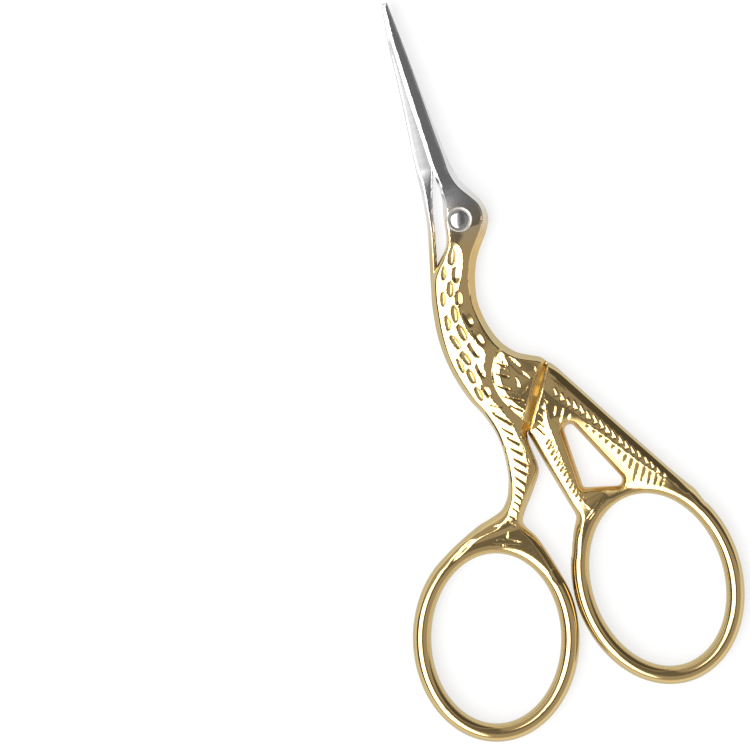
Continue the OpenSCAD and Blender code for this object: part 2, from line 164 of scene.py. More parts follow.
def sheet(outer, holes, chains, height, grid, extra=None):
    """Triangles inside an outline. Rows of points follow each edge, and the inside
    gets an even grid and any extra points. Returns points x, y, z and triangles."""

    def within(points):
        ok = inside(points, outer)
        for hole in holes:
            ok &= ~inside(points, hole)
        return ok

    loops = [outer] + holes
    fixed = np.vstack(loops)
    edges, at = [], 0
    for loop in loops:
        n = len(loop)
        edges += [(at + i, at + (i + 1) % n) for i in range(n)]
        at += n
    rows = [np.zeros((0, 2))]
    for c, chain in enumerate(chains):
        tangent = np.gradient(chain[:, :2], axis=0)
        tangent /= np.maximum(np.linalg.norm(tangent, axis=1), 1e-9)[:, None]
        normal = np.column_stack([-tangent[:, 1], tangent[:, 0]])
        w, s, rnd = chain[:, 2], np.minimum(chain[:, 4], 0.8), chain[:, 6]
        for share in (0.03, 0.1, 0.2, 0.33, 0.48, 0.64, 0.82, 1.0, 1.3, 1.6, 2.0):
            off = w * share if share <= 1 else w + s * (share - 1)
            use = (rnd > 0.3) | (share > 0.4) if share <= 1 else rnd < 0.5
            pts, off = (chain[:, :2] + normal * off[:, None])[use], off[use]
            keep = within(pts)
            pts, off = pts[keep], off[keep]
            if len(pts):
                # Where two edges meet, only the nearer one's rows are kept
                near = [nearest_on(pts, other, EDGE_REACH)[0] for other in chains]
                near[:c] = [d - 0.04 for d in near[:c]]
                rows.append(pts[np.min(near, axis=0) > off - 0.02])
    inner = grid if extra is None else np.vstack([extra, grid])
    ok = within(inner)
    for chain in chains:
        d, _, form = nearest_on(inner, chain, EDGE_REACH)
        band = np.where(form[:, 4] > 0.5, form[:, 0] * 1.02, form[:, 0] + np.minimum(form[:, 2], 0.8) + 0.05)
        ok &= d > band
    points = np.vstack([fixed] + rows + [inner[ok]])
    _, first = np.unique(np.round(points / 0.05).astype(int), axis=0, return_index=True)
    first = np.sort(first)
    points = points[np.concatenate([np.arange(len(fixed)), first[first >= len(fixed)]])]
    verts, _, faces, _, _, _ = delaunay_2d_cdt([Vector(p) for p in points], edges, [], 0, 1e-5)
    verts = np.array([tuple(v) for v in verts])
    faces = np.array(faces)
    return np.column_stack([verts, height(verts)]), faces[within(verts[faces].mean(1))]


def wall(line, low, high, closed=True):
    """Upright strip along a line, between two functions of the height."""
    n = len(line)
    points = np.vstack([np.column_stack([line, low(line)]), np.column_stack([line, high(line)])])
    tris = []
    for i in range(n if closed else n - 1):
        j = (i + 1) % n
        tris += [(i, j, n + i), (j, n + j, n + i)]
    return points, np.array(tris)


def hex_grid(x0, x1, y0, y1, step):
    """Even points in rows, each row set half a step from the last."""
    xs, ys = np.arange(x0, x1, step), np.arange(y0, y1, step * 0.866)
    x, y = np.meshgrid(xs, ys)
    return np.column_stack([(x + (np.arange(len(ys))[:, None] % 2) * step / 2).ravel(), y.ravel()])


def joined(*chains):
    """Closed loop of x, y through chains that meet end to end."""
    return np.vstack([c[:-1, :2] for c in chains])


def handle_level(y):
    """Height of the top above the table, from the body down to the rings."""
    return np.interp(y, [-47.4, -25.6], [3.5, 4.06])


def layer_level(y):
    """Thickness of one blade or layer, from the tip down to the head."""
    return np.interp(y, [4.4, 9.6, 35.4], [2.0, 1.7, 0.6])


RIGHT_RING = (11.305, -62.4)
# Left side of the back half, from the tip down: blade's back, throat strip, neck, body
back_left = edge_line([
    (-0.45, 35.4, 0.05, 0.8, 0.05, 0.4, 0, 1.8), (-0.78, 34.9, 0.08, 0.8, 0.08, 0.3, 0, 1.75),
    (-1.65, 30, 0.16, 0.985, 0.02, 0.1, 0, 1.6), (-2.15, 25, 0.2), (-2.65, 20),
    (-3.25, 15, 0.2, 0.985, 0.02, 0.1, 0, 1.4), (-3.85, 10, 0.2, 0.985, 0.02, 0.1, 0, 1.2),
    (-4.1, 7.2, 0.4, 0.9, 0.2, 0.05, 0, 1.1), (-4.3, 5.2, 0.45, 0.97, 0.1, 0.05, 0, 1.0), (-4.75, 2),
    (-5.15, 0, 0.5), (-5.8, -2.5), (-6.5, -5), (-7.1, -7.1), (-7.7, -9.4), (-8.4, -12.6), (-8.85, -16),
    (-8.85, -19.5), (-8.35, -23.2), (-7.35, -26.8), (-6.1, -29.6), (-5.27, -32.4), (-5.03, -33.98)])
# The step under the hip is an arc about the pivot, so the halves turn past each other
LIP_R = 34.35
lip_turns = np.linspace(math.asin(-5.03 / LIP_R), math.asin(-0.31 / LIP_R), 20)
lip_form = (0.3, 0.9, 0.1, 0.3, 0, 1.0)
back_lip = np.array([(LIP_R * math.sin(a), -LIP_R * math.cos(a)) + lip_form for a in lip_turns])
back_lip[0, :2] = back_left[-1, :2]
# Rear leg, from the hip to the foot, where it runs into the ring
back_leg = edge_line([
    tuple(back_lip[-1, :2]) + (0.3, 0.9, 0.1, 0, 0, 2.0), (-0.47, -34.6, 0.35, 0.84, 0.6),
    (-0.35, -35.3, 0.4), (0.1, -37.6), (1.0, -42), (2.1, -47), (2.5, -48.9, 0.55),
    (2.15, -49.9, 0.75, 0.86, 0.4, 0.03, 0.2), (1.5, -50.95, 1.0, 0.92, 0.2, 0.02, 0.6, 1.9),
    (0.75, -52.5, 1.3, 1.0, 0.1, 0, 1, RING_PART), (-0.2, -54.9, 1.45)])
back_ring = oval(RIGHT_RING, 13.05, 16.5, lean=0, start=152.6, end=392)
# Tail's top edge, from the ring up to the shoulder
back_tail = edge_line([
    tuple(back_ring[-1, :2]) + BAR_FORM, (22.05, -53.2, 1.4, 1.0, 0.1, 0, 1, 1.8),
    (21.25, -51.0, 1.1, 0.9, 0.6, 0.02, 0.5, 1.9), (20.6, -50.0, 0.6, 0.62, 1.2, 0.04, 0.1, 2.0),
    (19.4, -48.1, 0.35, 0.68, 1.3, 0.04, 0), (18.0, -45.75, 0.3), (13.75, -38.35), (9.9, -31.5),
    (7.7, -27.6, 0.35), (6.9, -26.2, 0.45, 0.7, 1.1), (6.3, -25.4, 0.5, 0.75, 0.6),
    (5.85, -25.05, 0.4, 0.8, 0.3, 0.0)])
back_leg[-1, :2], back_tail[0, :2] = back_ring[0, :2], back_ring[-1, :2]
# Right side of the lower layer, under the front half, then the rear blade's cutting edge
back_right = edge_line([
    (5.85, -25.05, 0.4, 0.8, 0.3, 0.0, 0, 2.0), (5.5, -24.5, 0.5, 0.8, 0.3, 0.04, 0, 1.4),
    (4.8, -23.95, 0.6, 0.84, 0.3, 0.04, 0, 1.0), (3.4, -23.25), (1.6, -22.1), (0.0, -20.05),
    (-0.93, -17.5), (-1.4, -15), (-1.45, -12.6), (-0.9, -10), (-0.1, -7.8), (0.8, -6.1), (1.85, -4.75),
    (3.2, -3.1), (4.1, -1.45), (4.3, 0.1), (4.0, 1.7), (3.2, 3.3), (2.1, 5.3),
    (1.45, 7.5, 0.5, 0.84, 0.3, 0.04, 0, 1.2), (1.0, 9.1, 0.4, 0.8, 0.3, 0.08, 0, 1.7),
    (0.35, 10.6, 0.5, 0.6, 1.0, 0.05, 0, 1.96), (-0.3, 12.8, 0.5, 0.6, 0.6),
    (-0.4, 15.3, 0.4, 0.7, 0.4), (-0.4, 20), (-0.4, 25, 0.3, 0.8, 0.2), (-0.3, 30, 0.15, 0.8, 0.1),
    (-0.2, 34.4, 0.06, 0.8, 0.05, 0.4, 0, 1.9), (-0.3, 35.25, 0.05, 0.8, 0.05, 0.4, 0, 1.85),
    (-0.45, 35.4, 0.05, 0.8, 0.05, 0.4, 0, 1.8)])
back_chains = [back_left, back_lip, back_leg, back_ring, back_tail, back_right]
back_outer = joined(*back_chains)
# Slit between the throat strip and the head
slit = edge_line([
    (-1.42, 8.6, 0.1, 0.9, 0.1, 0.3, 0, 1.5), (-1.9, 7.2, 0.1, 0.9, 0.3, 0.1, 0, 1.3),
    (-2.55, 5.2, 0.08, 0.9, 0.6, 0.3, 0, 1.0), (-3.5, 2.1), (-3.95, 0), (-4.6, -2.5), (-5.3, -5.1),
    (-5.55, -5.85), (-5.0, -5.35, 0.1, 0.9, 0.1), (-4.0, -4.2, 0.2), (-3.2, -3.1), (-2.65, -1.5),
    (-2.4, 0), (-2.05, 1.6), (-1.6, 3.2), (-1.4, 5), (-1.36, 7), (-1.42, 8.6)])[::-1]
right_hole = oval(RIGHT_RING, 10.15, 13.6, lean=0, start=360, end=0)


def round_loop(circles, form):
    """Closed line stretched round some circles, given in order, as an edge's rows."""
    c, n = np.array(circles, float), len(circles)
    out = []
    for i in range(n):
        d = c[(i + 1) % n, :2] - c[i, :2]
        length = np.linalg.norm(d)
        d, k = d / length, (c[i, 2] - c[(i + 1) % n, 2]) / length
        out.append(d * k + np.array([d[1], -d[0]]) * math.sqrt(1 - k * k))
    rows = []
    for i in range(n):
        a0, a1 = math.atan2(*out[i - 1][::-1]), math.atan2(*out[i][::-1])
        for t in np.linspace(0, 1, 12):
            a = a0 + ((a1 - a0) % (2 * math.pi)) * t
            rows.append((c[i, 0] + c[i, 2] * math.cos(a), c[i, 1] + c[i, 2] * math.sin(a)))
    rows = np.array(rows + rows[:1])
    run = np.concatenate([[0], np.cumsum(np.linalg.norm(np.diff(rows, axis=0), axis=1))])
    at = np.linspace(0, run[-1], int(run[-1] / 0.2) + 1)
    xy = np.column_stack([np.interp(at, run, rows[:, k]) for k in (0, 1)])
    return np.column_stack([xy] + [np.full(len(xy), f) for f in form])


# The tail's window is a triangle with round corners, and its left side is the wider bevel
window_corners = [(5.85, -36.2, 0.9), (5.54, -44.8, 0.59), (10.2, -45.79, 0.9)]
window = round_loop(window_corners, (0.9, 0.78, 0.15, 0.05, 0.2, 2.0))[::-1]
window[:, 2] = np.interp(window[:, 0], [5.0, 5.8], [0.72, 0.48])
back_holes = [slit, right_hole, window]

# Crown lines of the tail: the quill, and the rear leg's. The top falls gently to the
# left of each and more to the right
quill = smooth_line([
    (3.5, -27.6), (3.86, -29.17), (5.23, -31.2), (6.98, -33.55), (8.67, -36.07), (10.54, -38.66),
    (12.52, -41.48), (14.5, -44.29), (16.54, -46.94), (18.18, -49.05)], 0.2)
leg_crown = smooth_line([
    (3.9, -29.6), (3.4, -31.6), (3.0, -34), (3.1, -36.5), (3.2, -40), (3.5, -44), (4.0, -46.6),
    (4.7, -48.2), (5.6, -49.6)], 0.2)
tail_seam = edge_line([
    tuple(back_tail[-1, :2]) + (0.15, 0.95, 0.1, 0.85, 0, 2.0), (5.6, -25.75), (2.65, -30.03),
    tuple(back_lip[-1, :2])])
tail_edges = [back_leg, back_ring, back_tail, tail_seam, right_hole, window]

# How steeply the top falls to the left and to the right of each crown line
QUILL_FALL, LEG_FALL = (0.19, 0.22), (0.15, 0.26)


def roof(points, line, left, right):
    """How far a face falls on each side of a crown line, and the side."""
    d, side, _ = nearest_on(points, line)
    return np.where(side > 0, left * d, right * d), side


def tail_face(points):
    y = points[:, 1]
    quill_fall, side = roof(points, quill[::-1], *QUILL_FALL)
    quill_fall = np.where(side > 0, quill_fall * np.interp(y, [-36.5, -33.5], [1, 0.15]), quill_fall)
    leg_fall, _ = roof(points, leg_crown[::-1], *LEG_FALL)
    fall = np.minimum(np.minimum(quill_fall, 1.0), np.minimum(leg_fall, 0.8))
    return handle_level(y) - fall * np.clip((y + 50.5) / 3.5, 0, 1)


def back_top_layer(points):
    """The rear blade is hollow ground towards its back, and the layer below it is flat."""
    x, y = points[:, 0], points[:, 1]
    slope, added = 0.040, 0.009
    d = np.clip(-0.35 - x, 0, 4)
    # Next to the front blade the hollow is a little flatter, and darker for it
    rate = np.clip(0.009 + 0.0025 * (y - 11), 0.009, 0.05)
    start = 1.15 + np.clip(0.35 - 0.04 * (y - 11), 0, 0.5)
    bent = np.clip(d - start, 0, added / rate)
    hollow = slope * d + rate / 2 * bent**2 + added * np.maximum(d - start - added / rate, 0)
    hollow *= np.clip((y - 6.5) / 2.5, 0, 1)
    return drawn_in(points, [back_left, back_right, slit], LAP_LOW - hollow)


def back_top_tail(points):
    return drawn_in(points, tail_edges, tail_face(points))


def back_under(points):
    return drawn_in(points, back_chains + back_holes, LAP_LOW - layer_level(points[:, 1]), under=True)


def split_at(loop, line):
    """The two parts of a closed loop on either side of a line that crosses it."""
    i = np.linalg.norm(loop - line[0, :2], axis=1).argmin()
    rolled = np.roll(loop, -i, axis=0)
    k = np.linalg.norm(rolled - line[-1, :2], axis=1).argmin()
    inner = line[1:-1, :2]
    return np.vstack([rolled[:k + 1], inner[::-1]]), np.vstack([rolled[k:], rolled[:1], inner])


# Both halves are polished and plated a pale gold, then the blades are ground bare.


def fill(tree, inputs, values):
    """Sets each of these sockets to a value, or links it where the value is a socket."""
    for name, value in values.items():
        if isinstance(value, bpy.types.NodeSocket):
            tree.links.new(value, inputs[name])
        else:
            inputs[name].default_value = value


def add_node(tree, kind, values=None, **settings):
    node = tree.nodes.new(kind)
    for name, value in settings.items():
        setattr(node, name, value)
    fill(tree, node.inputs, values or {})
    return node


def new_material(name):
    """A material, its node tree and the input sockets of its shader."""
    material = bpy.data.materials.new(name)
    material.use_nodes = True
    tree = material.node_tree
    return material, tree, tree.nodes["Principled BSDF"].inputs


def shader_group(name, inputs):
    """A node group with these inputs and one output, and the sockets at its two ends."""
    group = bpy.data.node_groups.new(name, "ShaderNodeTree")
    for label, kind, value in inputs:
        socket = group.interface.new_socket(label, in_out="INPUT", socket_type=kind)
        socket.default_value = value
    group.interface.new_socket("Value", in_out="OUTPUT", socket_type="NodeSocketFloat")
    return group, group.nodes.new("NodeGroupInput").outputs, group.nodes.new("NodeGroupOutput").inputs


def group_value(tree, group, sockets):
    return add_node(tree, "ShaderNodeGroup", sockets, node_tree=group).outputs["Value"]


def math_node(tree, operation, *values, clamp=False):
    sockets = dict(enumerate(values))
    return add_node(tree, "ShaderNodeMath", sockets, operation=operation, use_clamp=clamp).outputs[0]


def smooth_range(tree, value, low, high):
    """0 up to low and 1 from high on, eased in between."""
    sockets = {"Value": value, "From Min": low, "From Max": high}
    return add_node(tree, "ShaderNodeMapRange", sockets, interpolation_type="SMOOTHSTEP").outputs["Result"]


def colour_mix(tree, factor, a, b):
    """A colour between two, each given as a colour or taken from a socket."""
    a, b = [value + (1,) if isinstance(value, tuple) else value for value in (a, b)]
    return add_node(tree, "ShaderNodeMix", {0: factor, 6: a, 7: b}, data_type="RGBA").outputs[2]


# Ground steel: fine grain across the blade, as left by a wheel
GRAIN_STRETCH = (260, 5200, 260)
grain, g_in, g_out = shader_group("Ground grain", [
    ("Position", "NodeSocketVector", (0, 0, 0)),
    ("Strength", "NodeSocketFloat", 0.5)])
stretch = {0: g_in["Position"], 1: GRAIN_STRETCH}
place = add_node(grain, "ShaderNodeVectorMath", stretch, operation="MULTIPLY").outputs[0]
noise = add_node(grain, "ShaderNodeTexNoise", {"Scale": 1, "Detail": 3, "Vector": place})
fill(grain, g_out, {"Value": math_node(grain, "MULTIPLY", noise.outputs["Fac"], g_in["Strength"])})

# Polish: a broad, soft change in how dull the metal is
polish, p_in, p_out = shader_group("Polish marks", [
    ("Position", "NodeSocketVector", (0, 0, 0)),
    ("Scale", "NodeSocketFloat", 900),
    ("Amount", "NodeSocketFloat", 0.1)])
clouds = {"Scale": p_in["Scale"], "Detail": 4, "Vector": p_in["Position"]}
noise = add_node(polish, "ShaderNodeTexNoise", clouds)
fill(polish, p_out, {"Value": math_node(polish, "MULTIPLY", noise.outputs["Fac"], p_in["Amount"])})


def plated_steel(name, bare_from, bare_to, gold, side_shade_gold, pit_gold, facing_shade_gold, facing_shade_side):
    """Pale gold plating that gives way to bare steel between two places along y, in metres. Pits have their
    own paler gold. Steep sides are painted a darker gold, and the lines that face another edge a deeper,
    darker gold: painted shade, with painted reflection from the facing edge."""
    material, tree, shader = new_material(name)
    place = tree.nodes.new("ShaderNodeTexCoord").outputs["Object"]
    split = add_node(tree, "ShaderNodeSeparateXYZ", {0: place})
    drift = add_node(tree, "ShaderNodeTexNoise", {"Scale": 500, "Vector": place})
    uneven = math_node(tree, "MULTIPLY", math_node(tree, "SUBTRACT", drift.outputs["Fac"], 0.5), 0.002)
    bare = smooth_range(tree, math_node(tree, "ADD", split.outputs["Y"], uneven), bare_from, bare_to)
    steep, sunk, warm = [add_node(tree, "ShaderNodeAttribute", attribute_name=attribute).outputs["Fac"]
                         for attribute in ("steep", "sunk", "warm")]
    # Steep sides take a darker gold, which is painted shade; near lines facing another edge a deeper, darker
    # gold paints shade and reflection
    plating = colour_mix(tree, sunk, colour_mix(tree, steep, gold, side_shade_gold), pit_gold)
    plating = colour_mix(tree, warm, plating, colour_mix(tree, steep, facing_shade_gold, facing_shade_side))
    # Steep steel is painted a darker grey: painted shade
    steel = colour_mix(tree, steep, (0.76, 0.76, 0.77), (0.68, 0.68, 0.67))
    marks = group_value(tree, polish, {"Position": place, "Scale": 700, "Amount": 0.07})
    ground = group_value(tree, grain, {"Position": place, "Strength": 1})
    dull = math_node(tree, "MULTIPLY", math_node(tree, "MAXIMUM", sunk, warm), 0.28)
    rough_gold = math_node(tree, "ADD", math_node(tree, "ADD", marks, 0.065), dull)
    rough_steel = math_node(tree, "ADD", math_node(tree, "MULTIPLY", ground, 0.06), 0.12)
    rough = add_node(tree, "ShaderNodeMix", {0: bare, 2: rough_gold, 3: rough_steel})
    scored = math_node(tree, "MULTIPLY", ground, bare)
    bump = add_node(tree, "ShaderNodeBump", {"Strength": 0.015, "Distance": 0.00001, "Height": scored})
    fill(tree, shader, {"Metallic": 1, "Base Color": colour_mix(tree, bare, plating, steel),
                        "Roughness": rough.outputs[0], "Normal": bump.outputs["Normal"]})
    return material


# The side and facing-edge golds are painted shade and reflection; the pit gold is the pits' own paler tone
gold = plated_steel(
    "Plated steel", bare_from=-0.0055, bare_to=0.0045, gold=(0.92, 0.65, 0.29), side_shade_gold=(0.50, 0.40, 0.20),
    pit_gold=(1.0, 0.78, 0.40), facing_shade_gold=(1.0, 0.68, 0.22), facing_shade_side=(0.66, 0.42, 0.14))


# Feathers, barbs, teeth and hatching are struck by the die. Each stroke is one mark:
# start, end, width, depth, kind and turn. It is drawn upwards, and deepest at its turn, a
# share of its width from its left side: a low turn leaves a bright facet in a dark field,
# and a high one a dark cut in a bright field.
FEATHER, BARB, TOOTH, WEDGE = 0, 1, 2, 3


def directions(ends):
    """Start and length of a stroke, and its directions along and to its right."""
    a, b = np.array(ends[:2]), np.array(ends[2:])
    length = np.linalg.norm(b - a)
    along = (b - a) / length
    return a, length, along, np.array([along[1], -along[0]])


def stroke_points(strokes):
    """Points that give each stroke its own clean edges and creases in a sheet."""
    out = []
    for *ends, width, _, kind, turn in strokes:
        a, length, along, across = directions(ends)
        rest = 1 - turn
        shares = [0, 0.07, turn * 0.4, turn * 0.75, turn, turn + rest * 0.35, turn + rest * 0.7, 0.93, 1]
        if kind == FEATHER and turn > 0.6:
            shares += [0.5, 0.6, 0.7]
        for v in np.linspace(0.02, 0.98, max(7, int(length / 0.16))):
            half = width / 2 * stroke_shape(v, kind)
            for t in shares:
                out.append(a + along * length * v + across * half * (2 * t - 1))
    return np.array(out)


def stroke_shape(v, kind):
    """Half width of a stroke at a share of its length, next to its widest."""
    if kind >= TOOTH:
        return max((1 - v)**(0.8 if kind == TOOTH else 0.45), 0.05)
    return math.sin(math.pi * v)**(0.6 if kind == FEATHER else 0.4)


def upwards(strokes):
    """Strokes given by their ends in any order, each turned to run upwards."""
    return [(x1, y1, x0, y0, *rest) if y0 > y1 else (x0, y0, x1, y1, *rest)
            for x0, y0, x1, y1, *rest in strokes]


def without_strokes(grid, strokes):
    """Grid points that no stroke covers."""
    keep = np.ones(len(grid), bool)
    for *ends, width, _, _, _ in strokes:
        a, length, along, across = directions(ends)
        v = (grid - a) @ along / length
        u = (grid - a) @ across / (width / 2)
        keep &= ~((v > -0.02) & (v < 1.02) & (np.abs(u) < 1.1))
    return grid[keep]


def stamping_tree():
    """Lays a flat stencil on each stroke point, looks down at them from above every
    point of the forging, and presses that point in by the stencil's profile."""
    tree = bpy.data.node_groups.new("Stamped ornament", "GeometryNodeTree")
    for label, kind in (("Geometry", "Geometry"), ("Strokes", "Object"), ("Depth", "Float"),
                        ("Ridge", "Float"), ("Material", "Material")):
        tree.interface.new_socket(label, in_out="INPUT", socket_type="NodeSocket" + kind)
    tree.interface.new_socket("Geometry", in_out="OUTPUT", socket_type="NodeSocketGeometry")
    n_in = tree.nodes.new("NodeGroupInput").outputs
    n_out = tree.nodes.new("NodeGroupOutput").inputs

    def make(kind, sockets=None, **settings):
        return add_node(tree, kind, sockets, **settings)

    def calc(operation, *values, clamp=False):
        return math_node(tree, operation, *values, clamp=clamp)

    def named(name, kind):
        return make("GeometryNodeInputNamedAttribute", {"Name": name}, data_type=kind).outputs["Attribute"]

    info = make("GeometryNodeObjectInfo", {"Object": n_in["Strokes"]}, transform_space="ORIGINAL")
    card = make("GeometryNodeMeshGrid", {"Size X": 1, "Size Y": 1, "Vertices X": 2, "Vertices Y": 2})
    stencil = make("GeometryNodeStoreNamedAttribute",
                   {"Geometry": card.outputs["Mesh"], "Name": "stencil", "Value": card.outputs["UV Map"]},
                   data_type="FLOAT_VECTOR", domain="CORNER")
    turn = make("ShaderNodeCombineXYZ", {"Z": named("turn", "FLOAT")})
    place = make("GeometryNodeInstanceOnPoints", {
        "Points": info.outputs["Geometry"], "Instance": stencil.outputs["Geometry"],
        "Rotation": turn.outputs[0], "Scale": named("size", "FLOAT_VECTOR")})
    cards = make("GeometryNodeRealizeInstances", {"Geometry": place.outputs["Instances"]})

    split = make("ShaderNodeSeparateXYZ", {0: make("GeometryNodeInputPosition").outputs[0]})
    above = make("ShaderNodeCombineXYZ", {"X": split.outputs["X"], "Y": split.outputs["Y"], "Z": 0.02})

    def look(name):
        ray = make("GeometryNodeRaycast", {
            "Target Geometry": cards.outputs["Geometry"], "Attribute": named(name, "FLOAT_VECTOR"),
            "Source Position": above.outputs[0], "Ray Direction": (0, 0, -1), "Ray Length": 0.05},
            data_type="FLOAT_VECTOR", mapping="INTERPOLATED")
        return make("ShaderNodeSeparateXYZ", {0: ray.outputs["Attribute"]}).outputs, ray.outputs["Is Hit"]

    (u, v, _), hit = look("stencil")
    (depth, kind, bend), _ = look("mark")
    u = calc("MULTIPLY_ADD", u, 2, -1)
    bow = calc("MAXIMUM", calc("SINE", calc("MULTIPLY", v, math.pi)), 0.0001)
    is_feather = calc("LESS_THAN", kind, 0.5)
    is_tooth = calc("GREATER_THAN", kind, 1.5)
    is_wedge = calc("GREATER_THAN", kind, 2.5)
    leaf = calc("POWER", bow, calc("MULTIPLY_ADD", is_feather, 0.2, 0.4))
    taper = calc("MAXIMUM", calc("SUBTRACT", 1, v), 0.0001)
    tooth = calc("POWER", taper, calc("MULTIPLY_ADD", is_wedge, -0.35, 0.8))
    leaf = calc("MULTIPLY", leaf, calc("SUBTRACT", 1, is_tooth))
    half = calc("MAXIMUM", calc("ADD", leaf, calc("MULTIPLY", tooth, is_tooth)), 0.02)
    t = calc("MULTIPLY_ADD", calc("DIVIDE", u, half), 0.5, 0.5, clamp=True)
    far_side = calc("DIVIDE", calc("SUBTRACT", 1, t), calc("SUBTRACT", 1, bend))
    press = calc("MINIMUM", calc("DIVIDE", t, bend), far_side)
    # A feather off the crown of the neck has a fine rib, and every mark starts gently
    ribbed = calc("MULTIPLY", is_feather, calc("GREATER_THAN", bend, 0.6))
    rib = calc("SUBTRACT", 1, calc("DIVIDE", calc("ABSOLUTE", calc("SUBTRACT", t, 0.6)), 0.1), clamp=True)
    rib = calc("MULTIPLY", calc("MULTIPLY", rib, ribbed), n_in["Ridge"])
    press = calc("MULTIPLY", press, calc("SUBTRACT", 1, rib))
    press = calc("MULTIPLY", press, calc("MULTIPLY", half, calc("DIVIDE", v, 0.12, clamp=True)))
    press = calc("MULTIPLY", calc("MULTIPLY", press, depth), calc("MULTIPLY", hit, n_in["Depth"]))
    drop = calc("MULTIPLY", calc("MULTIPLY", press, -1), named("side", "FLOAT"))
    offset = make("ShaderNodeCombineXYZ", {"Z": drop})
    move = make("GeometryNodeSetPosition", {"Geometry": n_in["Geometry"], "Offset": offset.outputs[0]})
    pit = calc("MULTIPLY", calc("MULTIPLY", press, 6000, clamp=True), ribbed)
    sunk = make("GeometryNodeStoreNamedAttribute",
                {"Geometry": move.outputs["Geometry"], "Name": "sunk", "Value": pit},
                data_type="FLOAT", domain="POINT")
    whole = make("GeometryNodeRealizeInstances", {"Geometry": sunk.outputs["Geometry"]})
    plated = make("GeometryNodeSetMaterial",
                  {"Geometry": whole.outputs["Geometry"], "Material": n_in["Material"]})
    fill(tree, n_out, {"Geometry": plated.outputs["Geometry"]})
    return tree


stamp = stamping_tree()


def attribute_on(mesh, name, values):
    """One number, or a row of three, for each point of a mesh."""
    values = np.asarray(values, np.float32)
    kind, field = ("FLOAT_VECTOR", "vector") if values.ndim > 1 else ("FLOAT", "value")
    mesh.attributes.new(name, kind, "POINT").data.foreach_set(field, values.ravel())


def stroke_object(name, strokes):
    """One point for each stroke, with its size, turn, depth and kind. Each lies a hair
    higher than the one before, so where two cross, the later one counts."""
    s = np.array(strokes, float)
    mid = (s[:, :2] + s[:, 2:4]) / 2
    d = s[:, 2:4] - s[:, :2]
    lift = 0.008 + np.arange(len(s)) * 1e-6
    mesh = bpy.data.meshes.new(name)
    mesh.from_pydata([(x * 0.001, y * 0.001, z) for (x, y), z in zip(mid, lift)], [], [])
    length = np.linalg.norm(d, axis=1)
    attribute_on(mesh, "turn", np.arctan2(d[:, 1], d[:, 0]) - math.pi / 2)
    attribute_on(mesh, "size", np.column_stack([s[:, 4], length, np.full(len(s), 1000.0)]) * 0.001)
    attribute_on(mesh, "mark", np.column_stack([s[:, 5] * 0.001, s[:, 6], s[:, 7]]))
    return bpy.data.objects.new(name, mesh)


def placed(name, data):
    """An object at the origin, in the scene."""
    obj = bpy.data.objects.new(name, data)
    bpy.context.scene.collection.objects.link(obj)
    return obj


# Points closer than the first are one point; along an open seam, closer than the second
SAME_POINT, SEAM_GAP = 0.0006, 0.02


def closed_piece(name, tops, undersides, walls, box, warm):
    """One mesh from sheets of points and triangles, joined where they meet. Only its tops are stamped, and
    near the lines that face another edge it is marked for a deeper, darker gold, which paints shade and
    reflection there."""
    verts, faces, side, at = [], [], [], 0
    for parts, is_top, turn in ((tops, 1.0, 1), (undersides, 0.0, -1), (walls, 0.0, 1)):
        for points, triangles in parts:
            verts.append(points)
            faces.append(triangles[:, ::turn] + at)
            side.append(np.full(len(points), is_top))
            at += len(points)
    verts, faces, side = np.vstack(verts), np.vstack(faces), np.concatenate(side)
    verts = np.clip(verts, [v * 1000 for v in box[0]], [v * 1000 for v in box[1]])
    places = np.round(verts / SAME_POINT).astype(np.int64)
    _, first, back = np.unique(places, axis=0, return_index=True, return_inverse=True)
    verts, side, faces = verts[first], side[first], back.ravel()[faces]
    # What is still open along a seam is welded over a slightly greater distance
    edges = np.sort(faces[:, [0, 1, 1, 2, 2, 0]].reshape(-1, 2), axis=1)
    edges, count = np.unique(edges, axis=0, return_counts=True)
    rim = np.unique(edges[count == 1])
    gap = np.linalg.norm(verts[rim, None] - verts[None, rim], axis=2)
    weld = np.arange(len(verts))
    weld[rim] = rim[np.argmax(gap < SEAM_GAP, axis=1)]
    kept, faces = np.unique(weld[faces], return_inverse=True)
    verts, side, faces = verts[kept], side[kept], faces.reshape(-1, 3)
    faces = faces[(faces != np.roll(faces, 1, axis=1)).all(1)]
    mesh = bpy.data.meshes.new(name)
    mesh.from_pydata((verts * 0.001).tolist(), [], faces.tolist())
    mesh.update()
    attribute_on(mesh, "side", side)
    normals = np.zeros(len(mesh.vertices) * 3, np.float32)
    mesh.vertices.foreach_get("normal", normals)
    # How steep each point is; the plating paints steep sides darker as shade
    steep = 1 - np.abs(normals.reshape(-1, 3)[:, 2])
    attribute_on(mesh, "steep", np.clip((steep - 0.15) / 0.3, 0, 1))
    # Nearness to lines that face another edge, where the plating paints shade and reflection
    reach = 1.3
    glow = np.zeros(len(verts))
    for line, amount in warm:
        d, _, _ = nearest_on(verts[:, :2], line, reach)
        glow = np.maximum(glow, amount * np.clip(2 * (1 - d / reach), 0, 1))
    attribute_on(mesh, "warm", glow)
    return placed(name, mesh)


def stamp_with(obj, strokes):
    """Strikes the ornament into a forging and plates it, which leaves a plain mesh."""
    mod = obj.modifiers.new("Stamp", "NODES")
    mod.node_group = stamp
    inputs = {"Strokes": strokes, "Depth": 1.0, "Ridge": 0.3, "Material": gold}
    for item in stamp.interface.items_tree:
        if item.in_out == "INPUT" and item.name in inputs:
            mod[item.identifier] = inputs[item.name]
    done = bpy.data.meshes.new_from_object(obj.evaluated_get(bpy.context.evaluated_depsgraph_get()))
    obj.modifiers.remove(mod)
    old, obj.data = obj.data, done
    done.name = obj.name
    bpy.data.meshes.remove(old)
    done.polygons.foreach_set("use_smooth", [True] * len(done.polygons))
    done.set_sharp_from_angle(angle=math.radians(38))


